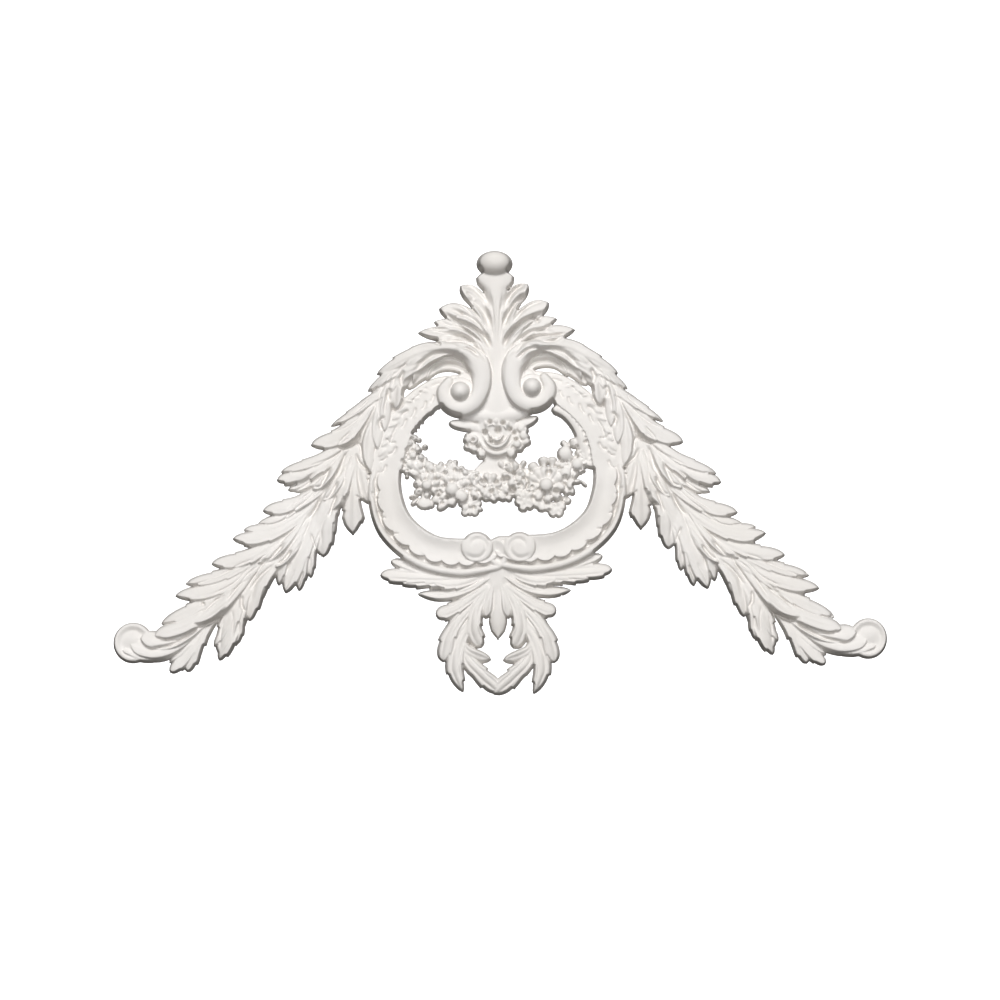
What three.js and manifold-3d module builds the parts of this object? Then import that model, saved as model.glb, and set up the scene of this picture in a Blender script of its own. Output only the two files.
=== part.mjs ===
// Acanthus applique: a flat-backed cast relief that is fixed to a wall over a door or mirror.
// A crest with a ball, two C-scrolls with volutes, two falling acanthus sprays that end in curls,
// an oval cartouche ring with a flower swag and a rosette inside it, and a leaf pendant below.
// Millimetres. X to the right, Z up, the flat back is the plane y = 0 and the carving faces -Y.
// The origin lies on the back, on the centreline, behind the stem between the two volutes.
import * as THREE from 'three';
import { mergeVertices } from 'three/addons/utils/BufferGeometryUtils.js';
import Module from 'manifold-3d';

const wasm = await Module();
wasm.setup();

// ---- driving sizes -------------------------------------------------------------------------
const UNIT = 1.1;            // millimetres per drawing unit: 772 units of width give 848 mm
const AXIS = 497;            // drawing x of the centreline
const STEM_Y = 390;          // drawing y of the origin, behind the stem
const DRAFT = 4.2;           // the side walls rise 4.2 mm for each millimetre inward, about 13 degrees
const BALL = { x: 494.5, y: 263.5, rx: 18.2, ry: 13.5, height: 34, base: 10 };
const CURLS = [[134, 644, 20, 20.5], [867.5, 639.5, 19, 20.5]];     // x, y, half width, half height
const CURL_HEIGHT = 16;
const VOLUTES = [[460, 394, 10], [532, 390, 9.5]];                  // x, y, radius of the eye
const VOLUTE_HEIGHT = 42;
const FOOT_VOLUTES = [[477, 548.5, 16], [519.5, 548.5, 16]];        // where the ring's ends meet
const FOOT_HEIGHT = 29;
const ROSETTE = { x: 496, y: 436, rx: 30, ry: 25, height: 19, base: 12 };
const TRIANGLES = 8600;      // the cast body is thinned down to this many faces

// ---- drawing: each lobe is [name, spine from root to tip, half width, [root, middle, tip height], shape] ----
// shape: m = where it is widest, b = root width as a share, q and k = how blunt the tip is, c = crown,
// t = how far the face leans, wa = widths given at stations, mh = where it is highest.
// WING and MIDDLE are drawn once, for the left, and mirrored for the right.
const WING = [
  ["mass",[440,356,410,362,388,384,376,415,362,445,345,472,328,498,308,520,286,545,262,566,240,584,218,604,198,622],12,[13,12,9],{b:1,m:0.5,q:0.5,tip:0.6}],
  ["o1a",[452,352,425,352,400,362,377,375],9,[20,20,12],{m:0.35}],
  ["o2",[430,362,398,378,380,395,360,404],8,[14,18,10],{m:0.5}],
  ["o3",[398,384,374,399,352,415,331,427],6.5,[16,18,12],{m:0.5}],
  ["o4",[388,392,365,414,338,439,311,446],10,[16,18,12],{m:0.78,q:0.6}],
  ["o4b",[374,408,361,426,348,441,332,449],5.5,[19,19,17],{m:0.6}],
  ["o5a",[362,430,338,450,312,464,281,473],7,[15,17,11],{m:0.7}],
  ["o5b",[356,440,336,459,310,474,276,483],9,[15,18,12],{m:0.82,q:0.6}],
  ["s5b",[356,456,345,475,335,490,323,504],5.5,[21,22,19],{}],
  ["o6",[338,476,318,493,292,507,263,512],9,[15,17,12],{m:0.78,q:0.6}],
  ["o7a",[326,488,300,508,280,519,258,525],6,[14,15,11],{}],
  ["o7b",[322,496,298,516,270,530,244,531],8,[15,16,10],{}],
  ["o7",[318,502,292,525,262,539,233,540],9,[17,19,13],{m:0.78,q:0.6}],
  ["o8",[302,522,276,543,243,561,212,565],9.5,[15,18,12],{m:0.76,q:0.6}],
  ["o9a",[286,538,256,560,224,577,186,585],8,[15,17,11],{m:0.78,q:0.6}],
  ["o9",[282,548,252,572,214,592,176,597],9.5,[16,19,13],{m:0.8,q:0.6}],
  ["o9c",[278,556,250,574,228,592,207,602],5.5,[18,19,15],{}],
  ["o10",[262,562,232,588,196,611,160,625],9.5,[15,18,12],{m:0.78,q:0.6}],
  ["s10",[262,566,240,590,218,612,194,627],7.5,[20,22,18],{m:0.6}],
  ["st1",[240,590,214,612,184,631,155,636],10.5,[20,24,20],{m:0.6}],
  ["st2",[226,600,196,628,168,642,141,638],11,[17,20,17],{m:0.65}],
  ["st3",[210,616,180,642,156,651,131,648],11,[13,17,15],{m:0.6}],
  ["h0a",[452,358,432,360,418,372,412,386],6.5,[30,28,17],{}],
  ["h0b",[460,362,444,364,434,369,429,376],5.5,[32,30,22],{}],
  ["h0c",[425,356,411,368,406,381,407,394],6,[26,24,15],{}],
  ["h1",[418,356,401,374,397,392,396,413],7.5,[21,22,15],{}],
  ["h2",[408,362,392,388,387,410,386,434],7.5,[19,20,15],{}],
  ["h3",[398,372,384,400,378,426,378,452],8,[17,19,15],{}],
  ["h4",[388,388,376,420,369,446,371,474],9,[16,18,15],{m:0.6}],
  ["i5r",[360,440,354,462,357,488,368,505],5.5,[13,15,11],{}],
  ["i5",[362,440,350,474,351,504,353,535],9.5,[17,18,12],{m:0.72}],
  ["i5a",[360,452,350,480,346,502,345,523],6,[15,16,11],{}],
  ["i5b",[360,456,355,486,359,502,365,518],6,[14,15,10],{}],
  ["i6a",[358,452,349,476,341,497,331,513],6.5,[19,20,16],{}],
  ["i6",[350,466,335,494,324,526,323.5,558],12.5,[16,19,12],{m:0.74}],
  ["i6b",[350,468,340,494,333,520,331,544],5.5,[15,16,11],{}],
  ["i7",[336,492,315,526,297,560,282,596],12.5,[16,18,12],{m:0.78}],
  ["i7a",[322,508,300,536,284,562,277,585],7,[15,16,10],{}],
  ["i7b",[332,502,314,534,303,562,298,590],8,[15,17,11],{}],
  ["i7c",[336,506,320,532,311,556,311,579],6.5,[15,16,11],{}],
  ["s7a",[308,516,294,536,278,553,259,565],5.5,[19,20,16],{}],
  ["s7b",[316,520,302,540,290,556,276,569],5.5,[20,21,17],{}],
  ["i8",[302,532,276,562,256,592,250,622],10.5,[16,18,12],{m:0.72}],
  ["i8b",[296,540,276,564,264,586,257,606],6,[15,16,11],{}],
  ["i9",[268,566,244,596,229,628,220,661],12.5,[15,18,12],{m:0.76}],
  ["i9a",[252,590,234,612,221,632,214,649],6.5,[14,15,10],{}],
  ["i9b",[258,578,243,602,235,624,236,645],6.5,[14,16,11],{}],
  ["i10",[232,600,212,624,198,650,189,673],8.5,[13,16,11],{m:0.74}],
  ["i10b",[222,610,202,636,187,658,172,674],7,[12,14,10],{}],
];

const MIDDLE = [
  ["sc",[408,377,427,366,447,361,465,363,477.5,374,481,392,474,406,461,411,449,406,444,394,449,384],13,[26,40,34],{wa:[[0,9],[0.12,13],[0.34,13.5],[0.47,10],[0.6,8],[0.8,8.5],[0.9,7],[1,5]],c:0.3,t:0,mh:0.4}],
  ["p0",[497,562,486,586,474,612,462,640],11,[14,13,9],{b:1}],
  ["p1",[446,580,424,574,406,566,392,561],6,[11,11,8],{}],
  ["p2a",[490,573,455,579,415,578,380,577],9.5,[20,17,11],{m:0.7}],
  ["p2b",[478,576,450,583,424,582,396,581],8.5,[15,17,13],{m:0.75}],
  ["p2c",[488,573,468,582,450,585,431,582],9,[19,19,15],{m:0.65}],
  ["p3",[490,580,468,592,445,597,418,595],6,[17,15,10],{m:0.7}],
  ["p4",[488,588,468,602,453,611,436,618],9.5,[16,16,11],{m:0.75}],
  ["p5",[480,602,460,620,448,641,444,664],10.5,[14,16,10],{m:0.78}],
  ["p6",[474,618,457,648,455,670,462,694],10.5,[14,15,10],{m:0.78}],
  ["p7",[464,640,467,662,480,677,500,692],10,[13,14,11],{m:0.85,q:0.5}],
  ["p8",[462,634,466,650,477,657,491,661],6.5,[14,15,11],{m:0.7}],
  ["p9",[486,592,474,612,474,632,480,649],9,[16,18,13],{m:0.72}],
  ["p10",[492,586,486,602,484,619],5.5,[17,18,14],{}],
];

const CREST = [
  ["ca",[496,350,487,320,476,300,462,285],10.5,[22,24,17],{m:0.82,q:0.55},1],
  ["cb",[494,366,483,337,465,317,440,308],11.5,[23,25,16],{m:0.8,q:0.6},1],
  ["cc",[492,372,478,345,457,329,434,322],7.5,[22,21,12],{m:0.74},1],
  ["cd",[491,382,475,352,449,336,419,333],8,[24,24,14],{m:0.76},1],
  ["ce",[490,396,481,366,459,348,430,345],6.5,[27,27,20],{m:0.7},1],
  ["ra",[499,350,505,322,513,301,527,284],10,[22,24,17],{m:0.82,q:0.55},-1],
  ["rb",[500,366,510,337,526,316,549,303],10.5,[23,25,16],{m:0.8,q:0.6},-1],
  ["rc",[502,372,515,345,535,326,558,319],7.5,[22,22,14],{m:0.74},-1],
  ["rd",[503,382,519,352,546,336,575,330],9,[24,24,14],{m:0.76},-1],
  ["re",[505,396,514,364,536,348,564,343],6.5,[27,27,18],{m:0.7},-1],
];

const CENTRE = [
  ["stem",[497,425,497,380,496.5,330,495,272],18,[20,22,22],{wa:[[0,20],[0.1,20],[0.22,12],[0.35,12],[0.5,7],[0.62,7],[0.8,11],[0.9,17],[0.95,20.5],[1,18]],c:0.25,t:0,mh:0.5}],
  ["drop",[498,560,498,600,498,639],10,[14,17,12],{wa:[[0,10],[0.4,7],[0.6,7],[0.8,9.5],[0.92,7],[1,2]],c:0.4,t:0}],
  ["plate",[497,556,497,575,497,600],16,[18,17,14],{t:0,c:0.3,b:1,m:0.3}],
  ["neck",[498,444,499,464,499,486],24,[11,11,10],{wa:[[0,20],[0.4,25],[0.6,25],[1,16]],c:0.2,t:0}],
  ["fill",[550,409,563,414,574,424,581,438,586,456],6,[15,14,12],{wa:[[0,5],[0.3,6],[0.6,6],[0.85,6],[1,4]],c:0.2,t:0}],
  ["nape",[462,408,480,410,498,411,514,410,530,405],6,[14,15,14],{wa:[[0,4],[0.3,6.5],[0.6,7],[0.8,7],[1,5]],c:0.2,t:0}],
];

const SWAG_LEAVES = [
  ["rl",[488,430,468,428,447,424],6.5,[18,17,12],{m:0.5}],
  ["rr",[505,430,524,424,539,419],5.5,[18,17,12],{m:0.5}],
  ["g1",[424,495,424,503,424,514],5.5,[15,16,12],{}],
  ["g2",[422,496,413,498,403,491],4.5,[15,15,11],{}],
  ["g5",[456,497,448,506,436,512],6.5,[16,17,12],{m:0.6}],
  ["g6",[550,492,564,499,573,508],4,[15,15,11],{}],
  ["g7",[572,486,582,480,588,487],3.5,[16,15,11],{}],
  ["g8",[578,462,590,466,597,468],4.5,[16,15,12],{}],
  ["g9",[530,500,522,506,515,510],5,[15,15,11],{}],
];

const SWAG = ["gm",[398,455,416,467,440,481,470,485,500,481,530,485,558,478,580,463,600,452],15,[11,10,10],{wa:[[0,14],[0.13,16],[0.3,20],[0.4,18],[0.5,22],[0.58,19],[0.7,20],[0.85,15],[1,9]],c:0.2,t:0}];

const RING_PATH = [460,386,440,394,424,403,409,417,399,433,391,452,386,474,386,501,394,525,411,543,433,555,461,559,492,557];
const RING_WIDTH = [[0,10],[0.07,13],[0.14,14],[0.22,15],[0.3,14],[0.38,15],[0.46,16],[0.54,18],[0.62,19],[0.7,19],[0.8,19],[0.9,20],[1,17]];

const BEADS = [[467,441,4.5,21],[474,441.5,4.5,22],[467.5,448,4.5,19],[474,451,4.5,20],[481,456,5,21],[517,446,4.5,22],[512,455,5.5,22],[524,437,5,20],[527,443,4.5,18],[521,430,4.5,20],[427,487,5.5,24],[452,491,7,23],[461.5,498,7,22],[546,487,7,26],[565,455,8.5,21],[577,466,6,21],[565.5,475,6,21],[575,444,6,16]];

const FLOWERS = [[427,487,13,5,90,19],[514,476,10,6,0,19],[546,488,21,6,60,21],[415,446,10,5,20,15],[412,468,10,5,60,15],[470,507,12.5,5,90,12],[488,482,12,6,30,17],[450,475,12,6,0,15],[588,460,9,5,0,16],[556,511,9,4,45,13],[525,503,11,5,250,16]];

// The hand-carved original isn't quite even: how far the right half drifts from a true mirror image.
const DRIFT = [[664,426,0,-6],[684,445,0,-2],[717,483,3,2],[730,512,8,3],[760,540,5,-6],[781,564,2,-10],[816.5,596,0,-8.5],[832,623,2,-5],[880,643,6,-3],[641.5,534,1,-5],[648,505,-2,-4],[670.5,557,-3.5,-9],[713,595,-0.5,-4],[744,621,0,-4],[774,660,-1,-5],[804,672,-1,-12],[821,673,3,-7],[617,373,0,0],[598,413,5,-4],[608,433,3,-5],[616,451,1,-8],[624,473,0,-8],[615,577,-1,-6],[577,595,-8,-3],[559,619,-3,-5],[551,645,4,0],[553,662,5,2],[534,692,3,2],[506,661,-1,1],[512,645,0,0],[500,610,0,0],[534,394,-2,-4],[549,360,0,-4],[517,374,0,-3],[600,420,2,-4],[606,500,1,-5],[584,545,2,-5],[533,556,0,-4],[596,470,0,0],[585,425,-1,-5],[560,400,-1,-5]];

// ---- helpers -------------------------------------------------------------------------------
const clamp = (v, a, b) => Math.min(b, Math.max(a, v));
const smooth = (v) => { const c = clamp(v, 0, 1); return c * c * (3 - 2 * c); };
const place = (x, y, depth) => new THREE.Vector3((x - AXIS) * UNIT, -depth, (STEM_Y - y) * UNIT);

function along(table, t) {
  for (let i = 1; i < table.length; i++) {
    if (t <= table[i][0]) {
      const [a, va] = table[i - 1], [b, vb] = table[i];
      return va + (vb - va) * (t - a) / (b - a);
    }
  }
  return table[table.length - 1][1];
}

function widthAt(t, half, s) {
  if (s.wa) return along(s.wa, t);
  const { m = 0.74, b = 0.5, q = 0.68, k = 2, tip = 0.06 } = s;
  if (t < m) return half * (b + (1 - b) * Math.sin(Math.PI / 2 * t / m));
  return half * (tip + (1 - tip) * Math.pow(Math.max(0, 1 - Math.pow((t - m) / (1 - m), k)), q));
}

function heightAt(t, h, s) {
  const { mh = 0.6 } = s;
  if (t < mh) return h[0] + (h[1] - h[0]) * smooth(t / mh);
  const c = (t - mh) / (1 - mh);
  return h[1] + (h[2] - h[1]) * c * c;
}

function points(flat) {
  const list = [];
  for (let i = 0; i < flat.length; i += 2) list.push(new THREE.Vector3(flat[i], flat[i + 1], 0));
  return list;
}

function mirrored(flat) {
  const out = [];
  for (let i = 0; i < flat.length; i += 2) {
    const x = 2 * AXIS - flat[i], y = flat[i + 1];
    let sum = 0, dx = 0, dy = 0;
    for (const [wx, wy, ox, oy] of DRIFT) {
      const d = (wx - x) ** 2 + (wy - y) ** 2;
      const g = Math.exp(-d / (2 * 22 * 22)) + 1e-9 * Math.exp(-d / (2 * 120 * 120));
      sum += g; dx += g * ox; dy += g * oy;
    }
    out.push(x + dx / sum, y + dy / sum);
  }
  return out;
}

function solid(geometry) {
  const g = geometry.clone();
  g.deleteAttribute('normal');
  g.deleteAttribute('uv');
  const p = g.attributes.position;
  for (let i = 0; i < p.count; i++) if (Math.abs(p.getY(i)) < 1e-6) p.setY(i, 0);   // exactly on the back
  const merged = mergeVertices(g, 1e-4);
  const mesh = new wasm.Mesh({
    numProp: 3,
    vertProperties: new Float32Array(merged.attributes.position.array),
    triVerts: new Uint32Array(merged.index.array),
  });
  let body = new wasm.Manifold(mesh);
  if (body.volume() < 0) throw new Error('inside out');
  return body;
}

// A lobe is a box bent along its spine: the bottom lies on the wall plane at full width, the top is
// drawn in by the draft and crowned along the middle.
function lobe(flat, half, h, s, flip, steps, columns = [-1, 0, 1], face = null) {
  const curve = new THREE.CatmullRomCurve3(points(flat), false, 'centripetal');
  curve.arcLengthDivisions = 120;
  const length = curve.getLength();
  const n = steps ?? clamp(Math.round(length / 22), 3, 5);
  const box = new THREE.BoxGeometry(2, 1, 1, columns.length - 1, 1, n);
  const p = box.attributes.position;
  for (let i = 0; i < p.count; i++) {
    const column = Math.round((p.getX(i) + 1) / 2 * (columns.length - 1));
    let u = columns[column];
    const top = p.getY(i) > 0;
    let t = p.getZ(i) + 0.5;
    // stations crowd towards the tip, where the outline turns
    t = face ? t : t * (1.25 - 0.25 * t);
    let w = widthAt(t, half, s);
    const hh = face ? 0 : heightAt(t, h, s);
    let st = t;
    if (top) {
      const inset = Math.min(0.72 * w, (face ? 20 : hh) / DRAFT / UNIT);
      w -= inset;
      if (!face) st = Math.min(t, 1 - Math.min(0.25, inset * 0.9 / length));
    }
    const at = curve.getPointAt(clamp(st, 0, 1));
    const dir = curve.getTangentAt(clamp(st, 0, 1));
    const x = at.x - dir.y * u * w, y = at.y + dir.x * u * w;
    let depth = 0;
    if (top) {
      if (face) depth = face(t, u * flip, length);
      else {
        const lean = (s.t ?? 0.2) * smooth((t - 0.2) / 0.5);
        depth = hh * (1 - (s.c ?? 0.14) * u * u * 1.6 - lean * u * flip * (1 - 0.3 * Math.abs(u)));
      }
    }
    const v = place(x, y, depth);
    p.setXYZ(i, v.x, v.y, v.z);
  }
  const body = box;
  // the box may have turned inside out when its axes were mapped: put its faces outward again
  if (signedVolume(body) < 0) flipFaces(body);
  return solid(body);
}

function signedVolume(g) {
  const p = g.attributes.position, ix = g.index.array;
  const a = new THREE.Vector3(), b = new THREE.Vector3(), c = new THREE.Vector3();
  let v = 0;
  for (let i = 0; i < ix.length; i += 3) {
    a.fromBufferAttribute(p, ix[i]); b.fromBufferAttribute(p, ix[i + 1]); c.fromBufferAttribute(p, ix[i + 2]);
    v += a.dot(b.cross(c)) / 6;
  }
  return v;
}

function flipFaces(g) {
  const ix = g.index.array;
  for (let i = 0; i < ix.length; i += 3) { const k = ix[i]; ix[i] = ix[i + 1]; ix[i + 1] = k; }
}

// A turned boss with a flat back: a profile spun round an axis that stands on the wall.
function boss(x, y, rx, ry, height, base, sides = 12, rings = 3) {
  const r = Math.min(rx, ry) * UNIT;
  const inset = Math.min(0.3 * r, base / DRAFT);
  const profile = [new THREE.Vector2(0, 0), new THREE.Vector2(r, 0)];
  for (let i = 0; i < rings; i++) {
    const a = Math.PI / 2 * i / rings;
    profile.push(new THREE.Vector2((r - inset) * Math.cos(a), base + (height - base) * Math.sin(a)));
  }
  profile.push(new THREE.Vector2(0, height));
  const g = new THREE.LatheGeometry(profile, sides);
  g.scale(rx * UNIT / r, -1, ry * UNIT / r);   // the turning axis points out of the wall, to -Y
  const c = place(x, y, 0);
  g.translate(c.x, 0, c.z);
  if (signedVolume(g) < 0) flipFaces(g);
  return solid(g);
}

// A small flower: an extruded outline of n petals with a boss in its middle.
function flower(x, y, radius, petals, turn, height) {
  const shape = new THREE.Shape();
  const steps = petals * 2;
  for (let i = 0; i < steps; i++) {
    const a = THREE.MathUtils.degToRad(turn) + (i / steps) * 2 * Math.PI;
    const r = radius * (i % 2 === 0 ? 1 : 0.62) * UNIT;
    const px = r * Math.cos(a), py = r * Math.sin(a);
    if (i === 0) shape.moveTo(px, py); else shape.lineTo(px, py);
  }
  shape.closePath();
  const g = new THREE.ExtrudeGeometry(shape, { depth: height, bevelEnabled: false, steps: 1, curveSegments: 1 });
  g.rotateX(Math.PI / 2);                 // extrusion now runs along -Y
  const c = place(x, y, 0);
  g.translate(c.x, 0, c.z);
  const index = mergeVertices(g);
  if (signedVolume(index) < 0) flipFaces(index);
  return solid(index);
}

// The cartouche ring: a band with an inner fillet, a hollow, a scalloped lip and an outer strip.
const RING_COLUMNS = [-1, -0.35, 0.42, 0.52, 1];
function ringFace(t, u, length) {
  const low = smooth((t - 0.4) / 0.1);
  const arm = 17 + 4 * Math.max(0, -u) - 2 * Math.max(0, u) ** 2;
  const hollow = u > 0.47 ? 16.5 : 19 + 5.5 * clamp((u + 0.25) / 0.75, 0, 1) ** 2 + 4 * clamp((-u - 0.25) / 0.6, 0, 1) ** 1.6;
  return arm * (1 - low) + hollow * low;
}

// Takes out the corners that hardly change the surface, the cheapest first, until `target` triangles
// are left. A corner slides along one of its edges onto the neighbour, so the body stays closed; one on
// the flat back only slides along the back, and no face may turn over.
function thin(xyz, tris, target) {
  const nv = xyz.length / 3, nt = tris.length / 3;
  const at = (v) => [xyz[3 * v], xyz[3 * v + 1], xyz[3 * v + 2]];
  const normal = (a, b, c) => {
    const [ax, ay, az] = at(a), [bx, by, bz] = at(b), [cx, cy, cz] = at(c);
    const ux = bx - ax, uy = by - ay, uz = bz - az, wx = cx - ax, wy = cy - ay, wz = cz - az;
    return [uy * wz - uz * wy, uz * wx - ux * wz, ux * wy - uy * wx];
  };
  const around = Array.from({ length: nv }, () => new Set());
  const q = Array.from({ length: nv }, () => new Float64Array(10));
  const live = new Uint8Array(nt).fill(1);
  for (let f = 0; f < nt; f++) {
    const [a, b, c] = tris.slice(3 * f, 3 * f + 3);
    around[a].add(f); around[b].add(f); around[c].add(f);
    const n = normal(a, b, c), len = Math.hypot(...n);
    if (len < 1e-12) continue;
    const [x, y, z] = n.map((k) => k / len), p = at(a), d = -(x * p[0] + y * p[1] + z * p[2]), w = len / 2;
    const k = [x * x, x * y, x * z, x * d, y * y, y * z, y * d, z * z, z * d, d * d];
    for (const v of [a, b, c]) for (let i = 0; i < 10; i++) q[v][i] += w * k[i];
  }
  const onBack = Array.from({ length: nv }, (_, v) => Math.abs(xyz[3 * v + 1]) < 1e-6);
  const error = (v, u) => {
    const [x, y, z] = at(u), k = q[v];
    return k[0] * x * x + 2 * k[1] * x * y + 2 * k[2] * x * z + 2 * k[3] * x + k[4] * y * y + 2 * k[5] * y * z
      + 2 * k[6] * y + k[7] * z * z + 2 * k[8] * z + k[9];
  };
  const near = (v) => {
    const s = new Set();
    for (const f of around[v]) for (let i = 0; i < 3; i++) s.add(tris[3 * f + i]);
    s.delete(v);
    return s;
  };
  const allowed = (v, u) => {
    if (onBack[v] !== onBack[u]) { if (onBack[v]) return false; }
    const nvs = near(v), nus = near(u);
    let shared = 0;
    for (const k of nvs) if (nus.has(k)) shared++;
    if (shared !== 2 || nvs.size < 4 && nus.size < 4) return false;
    for (const f of around[v]) {
      const t = [tris[3 * f], tris[3 * f + 1], tris[3 * f + 2]];
      if (t.includes(u)) continue;
      const before = normal(...t), after = normal(...t.map((k) => (k === v ? u : k)));
      const lb = Math.hypot(...before), la = Math.hypot(...after);
      if (la < 0.02) return false;
      const dot = before[0] * after[0] + before[1] * after[1] + before[2] * after[2];
      if (lb > 0.05 && dot < 0.35 * la * lb) return false;
      const s = [0, 1, 2].map((i) => { const g = t.map((k) => (k === v ? u : k)); const a = at(g[i]), b = at(g[(i + 1) % 3]); return Math.hypot(a[0] - b[0], a[1] - b[1], a[2] - b[2]); });
      if (la / Math.max(...s) ** 2 < 0.02) return false;
    }
    return true;
  };
  const stamp = new Uint32Array(nv);
  const heap = [];
  const less = (i, j) => heap[i][0] < heap[j][0];
  const swap = (i, j) => { const k = heap[i]; heap[i] = heap[j]; heap[j] = k; };
  const push = (e) => { heap.push(e); let i = heap.length - 1; while (i && less(i, (i - 1) >> 1)) { swap(i, (i - 1) >> 1); i = (i - 1) >> 1; } };
  const pop = () => {
    const top = heap[0], last = heap.pop();
    if (heap.length) {
      heap[0] = last;
      for (let i = 0; ;) {
        let m = i;
        for (const c of [2 * i + 1, 2 * i + 2]) if (c < heap.length && less(c, m)) m = c;
        if (m === i) break;
        swap(i, m); i = m;
      }
    }
    return top;
  };
  const offer = (v) => {
    for (const u of near(v)) {
      const [a, b] = [at(v), at(u)], len = Math.hypot(a[0] - b[0], a[1] - b[1], a[2] - b[2]);
      push([Math.max(0, error(v, u)) + 1e-4 * len, v, u, stamp[v], stamp[u]]);
    }
  };
  for (let v = 0; v < nv; v++) if (around[v].size) offer(v);
  let count = nt;
  while (count > target && heap.length) {
    const [, v, u, sv, su] = pop();
    if (stamp[v] !== sv || stamp[u] !== su || !around[v].size || !allowed(v, u)) continue;
    for (const f of [...around[v]]) {
      const t = [tris[3 * f], tris[3 * f + 1], tris[3 * f + 2]];
      if (t.includes(u)) { live[f] = 0; count--; for (const k of t) around[k].delete(f); } else {
        for (let i = 0; i < 3; i++) if (tris[3 * f + i] === v) tris[3 * f + i] = u;
        around[u].add(f);
      }
    }
    around[v].clear();
    for (let i = 0; i < 10; i++) q[u][i] += q[v][i];
    stamp[v]++; stamp[u]++;
    offer(u);
    for (const k of near(u)) { const [a, b] = [at(k), at(u)]; push([Math.max(0, error(k, u)) + 1e-4 * Math.hypot(a[0] - b[0], a[1] - b[1], a[2] - b[2]), k, u, stamp[k], stamp[u]]); }
  }
  const name = new Map(), out = [], list = [];
  for (let f = 0; f < nt; f++) {
    if (!live[f]) continue;
    for (let i = 0; i < 3; i++) {
      const v = tris[3 * f + i];
      if (!name.has(v)) { name.set(v, name.size); out.push(...at(v)); }
      list.push(name.get(v));
    }
  }
  return { xyz: out, tris: list };
}

// ---- assembly ------------------------------------------------------------------------------
const bodies = [];
for (const [, path, half, h, s] of [...WING, ...MIDDLE]) {
  bodies.push(lobe(path, half, h, s, 1, s.wa ? 12 : undefined));
  bodies.push(lobe(mirrored(path), half, h, s, -1, s.wa ? 12 : undefined));
}
for (const [, path, half, h, s, side] of CREST) bodies.push(lobe(path, half, h, s, side, 4));
for (const [, path, half, h, s] of CENTRE) bodies.push(lobe(path, half, h, s, 1, 7));
for (const [, path, half, h, s] of SWAG_LEAVES) bodies.push(lobe(path, half, h, s, 1, 2));
bodies.push(lobe(SWAG[1], SWAG[2], SWAG[3], SWAG[4], 1, 10));
bodies.push(lobe(RING_PATH, 1, [0, 0, 0], { wa: RING_WIDTH }, 1, 26, RING_COLUMNS, ringFace));
bodies.push(lobe(mirrored(RING_PATH), 1, [0, 0, 0], { wa: RING_WIDTH }, -1, 26, RING_COLUMNS.map((u) => -u).reverse(), ringFace));
bodies.push(boss(BALL.x, BALL.y, BALL.rx, BALL.ry, BALL.height, BALL.base, 20, 4));
for (const [x, y, rx, ry] of CURLS) bodies.push(boss(x, y, rx, ry, CURL_HEIGHT, 13, 18, 2));
for (const [x, y, r] of VOLUTES) {
  bodies.push(boss(x, y, r + 4.5, r + 4.5, VOLUTE_HEIGHT - 8, VOLUTE_HEIGHT - 12, 16, 1));
  bodies.push(boss(x, y, r, r, VOLUTE_HEIGHT, VOLUTE_HEIGHT - 9, 14, 3));
}
for (const [x, y, r] of FOOT_VOLUTES) bodies.push(boss(x, y, r, r, FOOT_HEIGHT, FOOT_HEIGHT - 6, 16, 3));
bodies.push(boss(ROSETTE.x, ROSETTE.y, ROSETTE.rx, ROSETTE.ry, ROSETTE.height, ROSETTE.base, 18, 2));
for (const [x, y, r, h] of BEADS) bodies.push(boss(x, y, r, r, h, h - r * 0.9, 8, 2));
for (const f of FLOWERS) bodies.push(flower(...f));

let layer = bodies;
while (layer.length > 1) {
  const next = [];
  for (let i = 0; i < layer.length; i += 2) next.push(i + 1 < layer.length ? layer[i].add(layer[i + 1]) : layer[i]);
  layer = next;
}
const cast = layer[0].getMesh();
const tidied = thin(Array.from(cast.vertProperties), Array.from(cast.triVerts), TRIANGLES);
const geometry = new THREE.BufferGeometry();
geometry.setAttribute('position', new THREE.BufferAttribute(new Float32Array(tidied.xyz), 3));
geometry.setIndex(new THREE.BufferAttribute(new Uint32Array(tidied.tris), 1));
geometry.computeVertexNormals();

const material = new THREE.MeshStandardMaterial({ name: 'primed_white', color: 0xebe8e4, roughness: 0.62, metalness: 0 });
const applique = new THREE.Mesh(geometry, material);
applique.name = 'acanthus_applique';

const group = new THREE.Group();
group.name = 'acanthus_corner_applique';
group.add(applique);
export default group;
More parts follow.
